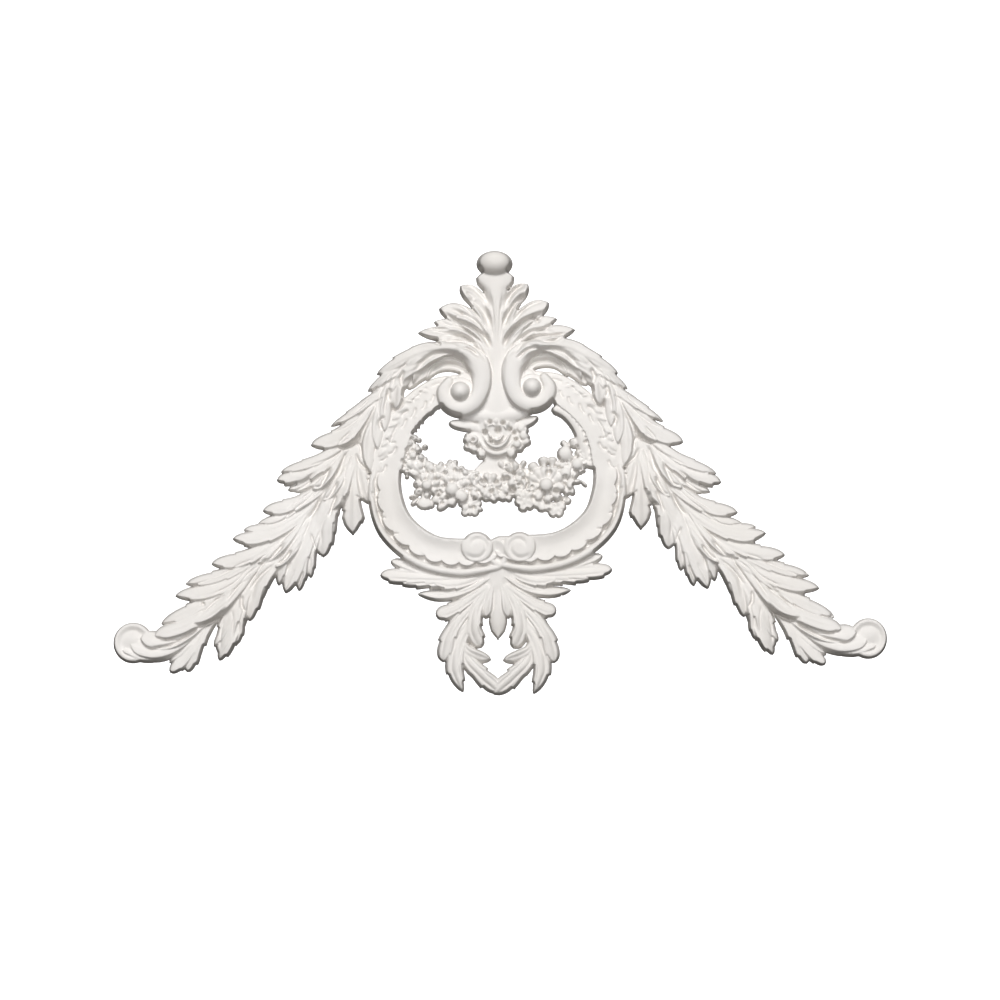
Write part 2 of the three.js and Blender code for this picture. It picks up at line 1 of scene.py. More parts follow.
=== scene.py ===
"""Looks for the acanthus applique: one white casting, flat at the back, carved in relief at the front.

The carving is a height above the flat back, worked out on a fine grid from strokes, domes and a ring profile.
Each stroke is a leaf lobe: a spine from root to tip, a half width, heights and a cross-section. The grid is turned
into a mesh with a true outline and drafted side walls, thinned, and closed with a flat back.

Drawing units run x to the right and y down, 1.1 mm each; the row frame has X right, Z up and -Y out of the wall.
"""
import bmesh
import bpy
import numpy as np
from mathutils.geometry import delaunay_2d_cdt
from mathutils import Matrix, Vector


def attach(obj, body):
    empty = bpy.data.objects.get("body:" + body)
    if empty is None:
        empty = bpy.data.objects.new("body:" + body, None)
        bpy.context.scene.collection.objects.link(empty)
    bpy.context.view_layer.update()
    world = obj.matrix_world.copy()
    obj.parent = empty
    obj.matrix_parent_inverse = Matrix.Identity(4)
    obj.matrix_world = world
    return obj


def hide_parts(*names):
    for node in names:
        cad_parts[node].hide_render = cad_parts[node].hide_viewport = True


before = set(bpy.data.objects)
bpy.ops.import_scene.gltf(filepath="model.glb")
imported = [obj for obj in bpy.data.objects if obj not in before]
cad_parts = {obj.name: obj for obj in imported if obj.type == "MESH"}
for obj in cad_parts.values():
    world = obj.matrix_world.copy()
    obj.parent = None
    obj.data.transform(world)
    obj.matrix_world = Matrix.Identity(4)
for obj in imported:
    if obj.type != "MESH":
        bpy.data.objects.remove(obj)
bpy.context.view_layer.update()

UNIT = 1.1          # mm per drawing unit
AXIS, STEM_Y = 497.0, 390.0
DRAFT = 6.6         # mm of wall height per mm inward
STEP = 0.5          # grid step in drawing units
OUTSIDE = -8.0      # height stored outside the outline

# ---- tables -----------------------------------------------------------------------------------
# Leaf lobes: name, spine from root to tip, half width, heights at root, middle and tip in mm, shape.
# WING and MIDDLE are drawn for the left and mirrored for the right.
WING = [
    ["mass", [440, 356, 410, 362, 388, 384, 376, 415, 362, 445, 345, 472, 328, 498, 308, 520, 286, 545, 262, 566, 240, 584, 218, 604, 198, 622], 12, [13, 12, 9], {"b": 1, "m": 0.5, "q": 0.5, "tip": 0.6}],
    ["o1a", [456, 351, 425, 352, 400, 362, 377, 375], 9.5, [34, 25, 12], {"m": 0.35, "mh": 0.5, "t": 0.1, "dr": 2.5, "sl": 2.9, "c": 0.12, "veins": [[0.9, 0.25, 0.2], [0.8, -0.4, 0.17]], "saw": [1.5, 4]}],
    ["o1b", [444, 354, 408, 366, 386, 378, 368, 392], 8, [30, 21, 11], {"m": 0.4, "dr": 3, "sl": 2.9, "c": 0.12, "t": 0.3, "veins": [[0.9, 0.25, 0.2], [0.8, -0.4, 0.17]], "saw": [1.5, 4]}],
    ["o2", [432, 360, 398, 378, 380, 395, 360, 404], 8, [26, 20, 10], {"m": 0.5, "dr": 5, "sl": 2.9, "c": 0.12, "t": 0.3, "veins": [[0.9, 0.25, 0.2], [0.8, -0.4, 0.17]], "saw": [1.5, 4]}],
    ["o3", [398, 384, 374, 399, 352, 415, 331, 427], 6.5, [18, 18, 12], {"m": 0.5, "dr": 9, "sl": 3.4, "c": 0.12, "t": 0.3, "veins": [[0.7, 0.0, 0.2]], "saw": [0.9, 4]}],
    ["o4", [388, 392, 365, 414, 338, 439, 311, 446], 10, [16, 18, 12], {"m": 0.75, "q": 0.72, "dr": 9, "sl": 2.9, "c": 0.12, "t": 0.3, "veins": [[0.9, 0.25, 0.2], [0.8, -0.4, 0.17]], "saw": [1.5, 4]}],
    ["o4b", [374, 408, 361, 426, 348, 441, 332, 449], 5.5, [19, 19, 17], {"m": 0.6, "dr": 9, "sl": 3.4, "c": 0.12, "t": 0.3, "veins": [[0.7, 0.0, 0.2]], "saw": [0.9, 4]}],
    ["o5a", [362, 430, 338, 450, 312, 464, 281, 473], 7, [13, 17, 11], {"m": 0.7, "dr": 9, "sl": 3.4, "c": 0.12, "t": 0.3, "veins": [[0.7, 0.0, 0.2]], "saw": [0.9, 4]}],
    ["o5b", [356, 440, 336, 459, 310, 474, 277, 481.5], 9, [12, 18, 12], {"m": 0.8, "q": 0.7, "saw": [3.0, 7], "dr": 9, "sl": 2.9, "c": 0.12, "t": 0.3, "veins": [[0.9, 0.25, 0.2], [0.8, -0.4, 0.17]]}],
    ["o5c", [342, 462, 322, 478, 306, 486, 288, 491], 6, [12, 13, 9], {"dr": 9, "sl": 3.4, "c": 0.12, "t": 0.3, "veins": [[0.7, 0.0, 0.2]], "saw": [0.9, 4]}],
    ["s5a", [346, 450, 338, 464, 327, 480, 312.5, 491.5], 6, [14, 21, 21], {"dr": 9, "sl": 3.4, "c": 0.12, "t": 0.3, "veins": [[1.0, 0.1, 0.16]]}],
    ["s5b", [352, 458, 345, 475, 335, 490, 323, 503], 6, [14, 21, 21], {"dr": 9, "sl": 3.4, "c": 0.12, "t": 0.3, "veins": [[1.0, 0.1, 0.16]]}],
    ["o6", [338, 476, 318, 493, 292, 507, 263, 512], 9, [11, 17, 12], {"m": 0.75, "q": 0.72, "dr": 9, "sl": 2.9, "c": 0.12, "t": 0.3, "veins": [[0.9, 0.25, 0.2], [0.8, -0.4, 0.17]], "saw": [1.5, 4]}],
    ["o7a", [326, 488, 300, 508, 280, 519, 258, 525], 6, [12, 15, 11], {"dr": 9, "sl": 3.4, "c": 0.12, "t": 0.3, "veins": [[0.7, 0.0, 0.2]], "saw": [0.9, 4]}],
    ["o7b", [322, 496, 298, 516, 270, 530, 244, 531], 8, [11, 16, 10], {"dr": 9, "sl": 2.9, "c": 0.12, "t": 0.3, "veins": [[0.9, 0.25, 0.2], [0.8, -0.4, 0.17]], "saw": [1.5, 4]}],
    ["o7", [318, 502, 292, 525, 262, 539, 233, 540], 9, [12, 19, 13], {"m": 0.75, "q": 0.72, "dr": 9, "sl": 2.9, "c": 0.12, "t": 0.3, "veins": [[0.9, 0.25, 0.2], [0.8, -0.4, 0.17]], "saw": [1.5, 4]}],
    ["o8", [302, 522, 276, 543, 243, 561, 212, 565], 9.5, [12, 18, 12], {"m": 0.75, "q": 0.72, "dr": 9, "sl": 2.9, "c": 0.12, "t": 0.3, "veins": [[0.9, 0.25, 0.2], [0.8, -0.4, 0.17]], "saw": [1.5, 4]}],
    ["o9a", [286, 538, 256, 560, 224, 577, 186, 585], 8, [12, 17, 11], {"m": 0.75, "q": 0.72, "dr": 9, "sl": 2.9, "c": 0.12, "t": 0.3, "veins": [[0.9, 0.25, 0.2], [0.8, -0.4, 0.17]], "saw": [1.5, 4]}],
    ["o9", [282, 548, 252, 572, 214, 592, 176, 597], 9.5, [13, 19, 13], {"m": 0.75, "q": 0.72, "dr": 9, "sl": 2.9, "c": 0.12, "t": 0.3, "veins": [[0.9, 0.25, 0.2], [0.8, -0.4, 0.17]], "saw": [1.5, 4]}],
    ["o9c", [278, 556, 250, 574, 228, 592, 207, 602], 5.5, [12, 19, 15], {"dr": 9, "sl": 3.4, "c": 0.12, "t": 0.3, "veins": [[0.7, 0.0, 0.2]], "saw": [0.9, 4]}],
    ["o10", [262, 562, 232, 588, 196, 610, 162, 625], 8.5, [12, 18, 12], {"m": 0.75, "q": 0.72, "dr": 9, "sl": 2.9, "c": 0.12, "t": 0.3, "veins": [[0.9, 0.25, 0.2], [0.8, -0.4, 0.17]], "saw": [1.5, 4]}],
    ["s10", [260, 568, 240, 590, 218, 612, 193, 627], 7.5, [14, 24, 23], {"m": 0.6, "dr": 9, "sl": 3.4, "c": 0.12, "t": 0.3, "veins": [[1.0, 0.1, 0.16]]}],
    ["st1", [240, 590, 214, 612, 184, 629, 156, 637], 9, [19, 23, 20], {"m": 0.82, "q": 0.5, "k": 2.4, "dr": 9, "sl": 2.9, "c": 0.12, "t": 0.3, "veins": [[1.0, 0.1, 0.16]]}],
    ["st2", [226, 600, 196, 628, 168, 643, 142, 639], 10.5, [17, 20, 17], {"m": 0.85, "q": 0.5, "k": 2.4, "dr": 9, "sl": 2.9, "c": 0.12, "t": 0.3, "veins": [[1.0, 0.1, 0.16]]}],
    ["st3", [210, 616, 180, 644, 156, 652, 132, 646], 10.5, [13, 17, 14], {"m": 0.85, "q": 0.5, "k": 2.4, "dr": 9, "sl": 2.9, "c": 0.12, "t": 0.3, "veins": [[1.0, 0.1, 0.16]]}],
    ["st4", [215, 610, 188, 640, 160, 655, 130, 655], 9, [10, 12, 12], {"m": 0.6, "dr": 9, "sl": 2.9, "c": 0.12, "t": 0.3, "veins": [[1.0, 0.1, 0.16]]}],
    ["st5", [196, 630, 172, 650, 147, 656, 127, 652], 8.5, [10, 13, 14], {"m": 0.6, "b": 1, "tip": 0.6, "dr": 9, "sl": 2.9, "c": 0.12, "t": 0.3, "veins": [[1.0, 0.1, 0.16]]}],
    ["h0z", [456, 364, 440, 364, 427, 371, 416, 379.5, 408, 390], 7.5, [12, 11, 9], {"c": 0.1, "t": 0, "m": 0.5, "q": 0.5, "dr": 9, "sl": 3.4, "veins": [[1.0, 0.1, 0.16]]}],
    ["h0a", [474, 372, 461, 361, 446, 357.5, 432, 360, 421, 369, 413.5, 384], 7, [16, 17, 15], {"t": -0.45, "c": 0.1, "m": 0.55, "n": 40, "dr": 2.5, "sl": 3.4, "veins": [[1.0, 0.1, 0.16]]}],
    ["h0b", [476, 388, 473, 377, 462, 369, 448, 366.5, 436, 370, 426, 381], 6.2, [17, 14, 12], {"t": -0.4, "c": 0.1, "m": 0.45, "b": 0.8, "n": 40, "dr": 2.5, "sl": 3.4, "veins": [[1.0, 0.1, 0.16]]}],
    ["h0c", [428, 360, 412, 368, 405, 379, 401.5, 392], 6.5, [18, 19, 15], {"t": -0.35, "c": 0.05, "dr": 5, "sl": 3.4, "veins": [[1.0, 0.1, 0.16]]}],
    ["h1", [415, 360, 401, 376, 397, 393, 396, 413.5], 7.5, [18, 22, 19], {"dr": 9, "sl": 3.4, "c": 0.12, "t": 0.3, "veins": [[1.0, 0.1, 0.16]]}],
    ["h2", [406, 364, 392, 388, 386, 410, 385, 434], 7.5, [16, 21, 19], {"t": -0.15, "dr": 9, "sl": 3.4, "c": 0.12, "veins": [[1.0, 0.1, 0.16]]}],
    ["h3", [396, 374, 384, 400, 378, 426, 378, 452], 8, [15, 20, 19], {"t": -0.15, "dr": 9, "sl": 2.9, "c": 0.12, "veins": [[1.0, 0.1, 0.16]]}],
    ["h4", [388, 388, 376, 420, 369, 446, 370.5, 475], 8.5, [14, 19, 19], {"m": 0.7, "t": -0.2, "dr": 9, "sl": 2.9, "c": 0.12, "veins": [[1.0, 0.1, 0.16]]}],
    ["i5r", [362, 438, 360, 460, 363.5, 486, 369, 505], 8, [13, 15, 12], {"dr": 9, "sl": 2.9, "c": 0.12, "t": 0.3, "veins": [[0.9, 0.25, 0.2], [0.8, -0.4, 0.17]], "saw": [2.0, 4]}],
    ["i5", [361, 445, 353, 474, 353, 504, 353, 535], 9, [13, 18, 14], {"wa": [[0, 4], [0.4, 7], [0.7, 10], [0.82, 12], [0.9, 9], [0.96, 5], [1, 1.5]], "dr": 9, "sl": 2.9, "c": 0.12, "t": 0.3, "veins": [[0.9, 0.25, 0.2], [0.8, -0.4, 0.17]], "saw": [2.0, 4]}],
    ["i6a", [357, 458, 350, 476, 342, 497, 332, 513], 6.5, [14, 22, 22], {"dr": 9, "sl": 3.4, "c": 0.12, "t": 0.3, "veins": [[0.7, 0.0, 0.2]], "saw": [1.2, 4]}],
    ["i6", [350, 466, 335, 494, 324, 526, 323.5, 558], 12.5, [13, 19, 12], {"m": 0.74, "dr": 9, "sl": 2.9, "c": 0.12, "t": 0.3, "veins": [[0.9, 0.25, 0.2], [0.8, -0.4, 0.17]], "saw": [2.0, 4]}],
    ["i6b", [350, 468, 340, 494, 333, 520, 331, 544], 5.5, [12, 16, 11], {"dr": 9, "sl": 3.4, "c": 0.12, "t": 0.3, "veins": [[0.7, 0.0, 0.2]], "saw": [1.2, 4]}],
    ["i7", [336, 492, 315, 526, 298, 562, 286, 594], 11.5, [12, 18, 13], {"m": 0.74, "q": 0.75, "dr": 9, "sl": 2.9, "c": 0.12, "t": 0.3, "veins": [[0.9, 0.25, 0.2], [0.8, -0.4, 0.17]], "saw": [2.0, 4]}],
    ["i7a", [322, 508, 300, 536, 285, 562, 279, 586.5], 6.5, [12, 17, 13], {"m": 0.78, "dr": 9, "sl": 3.4, "c": 0.12, "t": 0.3, "veins": [[0.7, 0.0, 0.2]], "saw": [1.2, 4]}],
    ["i7b", [332, 502, 314, 534, 304, 562, 299.5, 592], 7, [12, 17, 13], {"m": 0.78, "dr": 9, "sl": 3.4, "c": 0.12, "t": 0.3, "veins": [[0.7, 0.0, 0.2]], "saw": [1.2, 4]}],
    ["i7c", [336, 506, 320, 532, 311, 556, 311, 579], 6.5, [12, 16, 11], {"dr": 9, "sl": 3.4, "c": 0.12, "t": 0.3, "veins": [[0.7, 0.0, 0.2]], "saw": [1.2, 4]}],
    ["s7a", [306, 518, 294, 536, 278, 553, 258, 565], 6, [14, 21, 21], {"dr": 9, "sl": 3.4, "c": 0.12, "t": 0.3, "veins": [[1.0, 0.1, 0.16]]}],
    ["s7b", [314, 523, 302, 540, 290, 556, 275, 570], 6, [14, 21, 21], {"dr": 9, "sl": 3.4, "c": 0.12, "t": 0.3, "veins": [[1.0, 0.1, 0.16]]}],
    ["i8", [302, 532, 276, 562, 256, 592, 250, 622], 10.5, [12, 18, 12], {"m": 0.72, "dr": 9, "sl": 2.9, "c": 0.12, "t": 0.3, "veins": [[0.9, 0.25, 0.2], [0.8, -0.4, 0.17]], "saw": [2.0, 4]}],
    ["i8b", [296, 540, 276, 564, 264, 586, 257, 606], 6, [12, 16, 11], {"dr": 9, "sl": 3.4, "c": 0.12, "t": 0.3, "veins": [[0.7, 0.0, 0.2]], "saw": [1.2, 4]}],
    ["i9", [268, 566, 244, 596, 229, 628, 222, 657], 11, [12, 18, 13], {"m": 0.74, "q": 0.55, "dr": 9, "sl": 2.9, "c": 0.12, "t": 0.3, "veins": [[0.9, 0.25, 0.2], [0.8, -0.4, 0.17]], "saw": [2.0, 4]}],
    ["i9c", [247, 612, 231, 640, 220, 661.5], 8.5, [13, 18, 12], {"m": 0.62, "q": 0.7, "dr": 9, "sl": 2.9, "c": 0.12, "t": 0.3, "veins": [[0.9, 0.25, 0.2], [0.8, -0.4, 0.17]], "saw": [2.0, 4]}],
    ["i9a", [252, 590, 237, 612, 225, 632, 215, 648], 5.5, [12, 17, 13], {"m": 0.78, "dr": 9, "sl": 3.4, "c": 0.12, "t": 0.3, "veins": [[0.7, 0.0, 0.2]], "saw": [1.2, 4]}],
    ["i9b", [258, 578, 246, 602, 240, 624, 238, 645], 6.5, [12, 17, 13], {"m": 0.78, "dr": 9, "sl": 3.4, "c": 0.12, "t": 0.3, "veins": [[0.7, 0.0, 0.2]], "saw": [1.2, 4]}],
    ["i10", [230, 600, 209, 626, 196, 651, 188, 673], 8, [11, 16, 12], {"m": 0.8, "q": 0.55, "dr": 9, "sl": 2.9, "c": 0.12, "t": 0.3, "veins": [[0.9, 0.25, 0.2], [0.8, -0.4, 0.17]], "saw": [2.0, 4]}],
    ["i10b", [222, 610, 202, 636, 187, 658, 171, 673.5], 7.5, [12, 15, 12], {"m": 0.8, "q": 0.5, "dr": 9, "sl": 3.4, "c": 0.12, "t": 0.3, "veins": [[0.7, 0.0, 0.2]], "saw": [1.2, 4]}],
    ["i10c", [218, 614, 198, 636, 183, 652, 170, 664], 5.5, [12, 13, 9], {"dr": 9, "sl": 3.4, "c": 0.12, "t": 0.3}],
]
MIDDLE = [
    ["sc", [392, 368, 410, 357.5, 430, 351, 450, 350, 467, 355, 479, 368, 481.5, 388, 474, 405, 461, 411, 449, 406, 444, 394, 449, 384], 13, [17, 33, 30], {"wa": [[0, 3], [0.11, 5], [0.22, 5.5], [0.33, 6.5], [0.42, 9], [0.5, 11], [0.57, 10.5], [0.66, 8.5], [0.75, 8], [0.88, 8.5], [0.95, 7], [1, 5]], "c": 0.13, "t": 0, "mh": 0.45, "n": 70, "sl": 2.4, "dr": 4}],
    ["p0", [497, 562, 486, 586, 474, 612, 462, 640], 11, [14, 13, 9], {"b": 1, "dr": 8, "sl": 2.6, "c": 0.12, "t": 0.28, "veins": [[1.5, 0.3, 0.14], [1.3, -0.4, 0.14]]}],
    ["p1", [446, 580, 424, 574, 406, 567, 391, 562], 6, [12, 13, 10], {"m": 0.78, "q": 0.5, "dr": 8, "sl": 2.6, "c": 0.12, "t": 0.28, "veins": [[1.2, 0.0, 0.18]]}],
    ["p2a", [490, 573, 455, 579, 415, 578, 380.5, 576], 9.5, [11, 16, 12], {"m": 0.78, "q": 0.55, "dr": 8, "sl": 2.6, "c": 0.12, "t": 0.28, "veins": [[1.5, 0.3, 0.14], [1.3, -0.4, 0.14]], "saw": [2.0, 6]}],
    ["p2b", [478, 576, 450, 583, 424, 582, 396, 581], 8.5, [11, 16, 13], {"m": 0.75, "dr": 8, "sl": 2.6, "c": 0.12, "t": 0.28, "veins": [[1.5, 0.3, 0.14], [1.3, -0.4, 0.14]], "saw": [2.0, 6]}],
    ["p2c", [488, 573, 468, 582, 450, 585, 431, 582], 9, [13, 17, 15], {"m": 0.65, "dr": 8, "sl": 2.6, "c": 0.12, "t": 0.28, "veins": [[1.5, 0.3, 0.14], [1.3, -0.4, 0.14]], "saw": [2.0, 6]}],
    ["p3", [490, 580, 468, 592, 445, 597, 418, 595], 6, [17, 15, 10], {"m": 0.7, "dr": 8, "sl": 2.6, "c": 0.12, "t": 0.28, "veins": [[1.2, 0.0, 0.18]]}],
    ["p4", [488, 588, 468, 602, 453, 611, 436, 617], 8.5, [16, 16, 12], {"m": 0.82, "q": 0.5, "saw": [1.6, 4], "dr": 8, "sl": 2.6, "c": 0.12, "t": 0.28, "veins": [[1.5, 0.3, 0.14], [1.3, -0.4, 0.14]]}],
    ["p5", [482, 600, 462, 618, 449, 638, 443, 663], 9, [14, 16, 11], {"m": 0.8, "q": 0.55, "dr": 8, "sl": 2.6, "c": 0.12, "t": 0.28, "veins": [[1.5, 0.3, 0.14], [1.3, -0.4, 0.14]], "saw": [2.0, 4]}],
    ["p6", [474, 618, 459, 645, 455, 670, 463, 693], 10, [14, 15, 11], {"m": 0.6, "q": 0.8, "dr": 8, "sl": 2.6, "c": 0.12, "t": 0.28, "veins": [[1.5, 0.3, 0.14], [1.3, -0.4, 0.14]], "saw": [2.0, 4]}],
    ["p7", [462, 638, 467, 660, 481, 676, 501, 694], 9.5, [13, 14, 12], {"m": 0.75, "q": 0.8, "b": 0.5, "dr": 8, "sl": 2.6, "c": 0.12, "t": 0.28, "veins": [[1.5, 0.3, 0.14], [1.3, -0.4, 0.14]], "saw": [2.0, 4]}],
    ["p8", [462, 634, 466, 650, 477, 657, 491, 661], 6.5, [14, 15, 11], {"m": 0.7, "dr": 8, "sl": 2.6, "c": 0.12, "t": 0.28, "veins": [[1.2, 0.0, 0.18]]}],
    ["p9", [488, 590, 476, 612, 474, 632, 481, 649], 9.5, [16, 18, 13], {"m": 0.78, "q": 0.55, "dr": 8, "sl": 2.6, "c": 0.12, "t": 0.28, "veins": [[1.5, 0.3, 0.14], [1.3, -0.4, 0.14]], "saw": [2.0, 4]}],
    ["p10", [494, 584, 489, 600, 485.5, 620], 6.5, [17, 18, 14], {"m": 0.75, "dr": 8, "sl": 2.6, "c": 0.12, "t": 0.28, "veins": [[1.2, 0.0, 0.18]]}],
]
CREST = [
    ["ca", [496, 350, 487, 320, 476, 299, 460, 286], 9.5, [20, 24, 18], {"m": 0.8, "q": 0.7, "c": 0.1, "dish": 1.8, "dr": 4}, 1],
    ["cb", [494, 366, 483, 337, 465, 317, 439, 309], 10.5, [21, 25, 17], {"m": 0.78, "q": 0.75, "c": 0.1, "dish": 1.8, "dr": 4}, 1],
    ["cc", [492, 372, 478, 345, 457, 329, 434, 322], 7.5, [19, 21, 13], {"m": 0.72, "c": 0.1, "dish": 1.6, "dr": 4}, 1],
    ["cd", [491, 382, 475, 352, 449, 336, 418, 333], 8, [18, 24, 14], {"m": 0.74, "c": 0.1, "dish": 1.8, "dr": 4, "q": 0.8}, 1],
    ["ce", [490, 390, 481, 366, 459, 348, 430, 345], 6.5, [18, 27, 20], {"m": 0.7}, 1],
    ["ra", [499, 350, 505, 322, 513, 300, 528, 284], 9.5, [20, 24, 18], {"m": 0.8, "q": 0.7, "c": 0.1, "dish": 1.8, "dr": 4}, -1],
    ["rb", [500, 366, 510, 337, 526, 316, 549, 303], 10, [21, 25, 17], {"m": 0.8, "q": 0.7, "c": 0.1, "dish": 1.8, "dr": 4}, -1],
    ["rc", [502, 372, 515, 345, 535, 326, 557, 319], 7.5, [19, 22, 14], {"m": 0.72, "c": 0.1, "dish": 1.6, "dr": 4}, -1],
    ["rd", [503, 382, 519, 352, 546, 336, 575, 330], 9, [18, 24, 14], {"m": 0.74, "c": 0.1, "dish": 1.8, "dr": 4, "q": 0.8}, -1],
    ["re", [505, 390, 514, 364, 536, 348, 564, 343], 6.5, [18, 27, 18], {"m": 0.7}, -1],
]
CENTRE = [
    ["stem", [497, 425, 497, 380, 496.5, 330, 495, 272], 18, [20, 22, 22], {"wa": [[0, 20], [0.1, 20], [0.22, 12], [0.35, 12], [0.5, 7], [0.62, 7], [0.8, 9.5], [0.88, 13], [0.92, 18.5], [0.965, 19.5], [0.985, 16.5], [1, 13]], "c": 0.25, "t": 0, "mh": 0.5}],
    ["drop", [498, 560, 498, 600, 498, 639], 10, [14, 17, 12], {"wa": [[0, 10], [0.4, 7], [0.6, 7], [0.8, 9.5], [0.92, 7], [1, 2]], "c": 0.4, "t": 0}],
    ["plate", [497, 556, 497, 575, 497, 600], 16, [18, 17, 14], {"t": 0, "c": 0.3, "b": 1, "m": 0.3}],
    ["neck", [498, 444, 499, 464, 499, 486], 24, [11, 11, 10], {"wa": [[0, 13], [0.4, 16], [0.62, 25], [1, 16]], "c": 0.2, "t": 0}],
    ["fill", [556, 411, 565, 415, 574, 424, 581, 438, 586, 456], 6, [19, 19, 17], {"dr": 2, "wa": [[0, 5], [0.3, 6], [0.6, 6], [0.85, 6], [1, 4]], "c": 0.2, "t": 0}],
    ["nape", [455, 413, 475, 416, 497, 418, 517, 415, 533, 410], 8, [19, 21, 19], {"wa": [[0, 4], [0.15, 8], [0.8, 8], [1, 4]], "c": 0.2, "t": 0}],
]
SWAG_LEAVES = [
    ["rl", [482, 431, 466, 427, 448.5, 424], 6, [16, 18, 15], {"m": 0.6, "q": 0.5, "b": 0.9, "c": 0.15, "t": 0.15, "dr": 7}],
    ["rr", [510, 430, 524, 425, 538.5, 418], 5.5, [16, 18, 15], {"m": 0.6, "q": 0.5, "b": 0.9, "c": 0.15, "t": -0.15, "dr": 7}],
]
SWAG = ["gm", [398, 455, 416, 467, 440, 481, 470, 485, 500, 481, 530, 485, 558, 478, 580, 463, 598, 453], 15, [9, 8, 8], {"wa": [[0, 10], [0.13, 12], [0.3, 16.5], [0.4, 14], [0.5, 19], [0.58, 16], [0.7, 16], [0.85, 11], [1, 6]], "c": 0.2, "t": 0}]
# round bosses: x, y, radius, height
BEADS = [
    [467, 441, 4.5, 21],
    [474, 441.5, 4.5, 22],
    [467.5, 448, 4.5, 19],
    [474, 451, 4.5, 20],
    [481, 456, 5, 21],
    [517, 446, 4.5, 22],
    [512, 455, 5.5, 22],
    [524, 437, 5, 20],
    [527, 443, 4.5, 18],
    [521, 430, 4.5, 20],
    [520, 450, 4, 18],
    [427, 487, 5.5, 24],
    [452, 491, 7, 23],
    [461.5, 498, 7, 22],
    [446, 473, 3, 20],
    [438, 478, 3.2, 19],
    [432, 470, 3.2, 18],
    [441, 465, 3.2, 17],
    [450, 463, 3.2, 17],
    [457, 470, 3.4, 19],
    [465, 474, 3.2, 19],
    [470, 507, 2.6, 15],
    [413, 439, 3.2, 15],
    [546, 487, 7, 26],
    [565, 455, 8.5, 21],
    [577, 466, 6, 21],
    [565.5, 475, 6, 21],
    [575, 444, 6, 16],
    [563.5, 444, 3.5, 14],
    [570, 487, 4, 19],
    [483, 493, 3.2, 19],
    [489, 497, 3.4, 18],
    [476, 497, 3.4, 18],
    [497, 498, 3.2, 18],
    [414.5, 439, 4, 17],
    [419, 441, 3, 15],
    [409.5, 444.5, 3.8, 19],
    [405, 451, 3.6, 18],
    [418.5, 451, 4, 20],
    [425, 448, 3.4, 18],
    [413, 457, 4, 20],
    [403, 461.5, 3.4, 17],
    [421, 458, 3.8, 19],
    [410, 466, 3.8, 18],
    [420, 467, 4, 18],
    [403, 471, 3, 14],
    [407, 478, 2.4, 13],
    [411, 474, 3, 15],
    [415, 475, 3.4, 16],
    [486, 499, 4.4, 15],
    [494, 500.5, 4.2, 16],
    [503, 499, 4.4, 15],
    [436, 501, 5, 15],
    [445, 504, 4.5, 14],
    [431, 506, 4, 13],
    [537, 506, 4.2, 15],
    [509, 500, 3.6, 14],
    [420, 506, 3.6, 13],
    [465, 509, 4, 14],
    [548, 509, 4.4, 14],
    [556, 404, 2.8, 20],
    [562, 406.5, 2.4, 19],
    [568, 411, 3, 20],
    [574, 416, 2.5, 19],
    [579, 423, 3, 20],
    [584, 431.5, 2.6, 19],
    [588, 440, 3, 19],
    [440, 402.5, 2.6, 20],
    [434, 405, 2.2, 19],
    [428, 409, 2.8, 20],
    [421.5, 413.5, 2.3, 19],
    [416, 419.5, 2.7, 20],
    [411, 426, 2.3, 19],
]
# flowers: x, y, radius, petals, turn, height, petal width
FLOWERS = [
    [412, 449, 8, 6, 20, 14, 0.9],
    [414, 464, 8, 6, 60, 14, 0.9],
    [470, 507, 12.5, 5, 90, 12, 0.75],
    [450, 475, 12, 6, 0, 15, 0.9],
    [588, 460, 9, 5, 0, 16, 1.0],
    [556, 511, 9, 4, 45, 13, 1.0],
    [525, 503, 11, 5, 250, 16, 1.0],
]
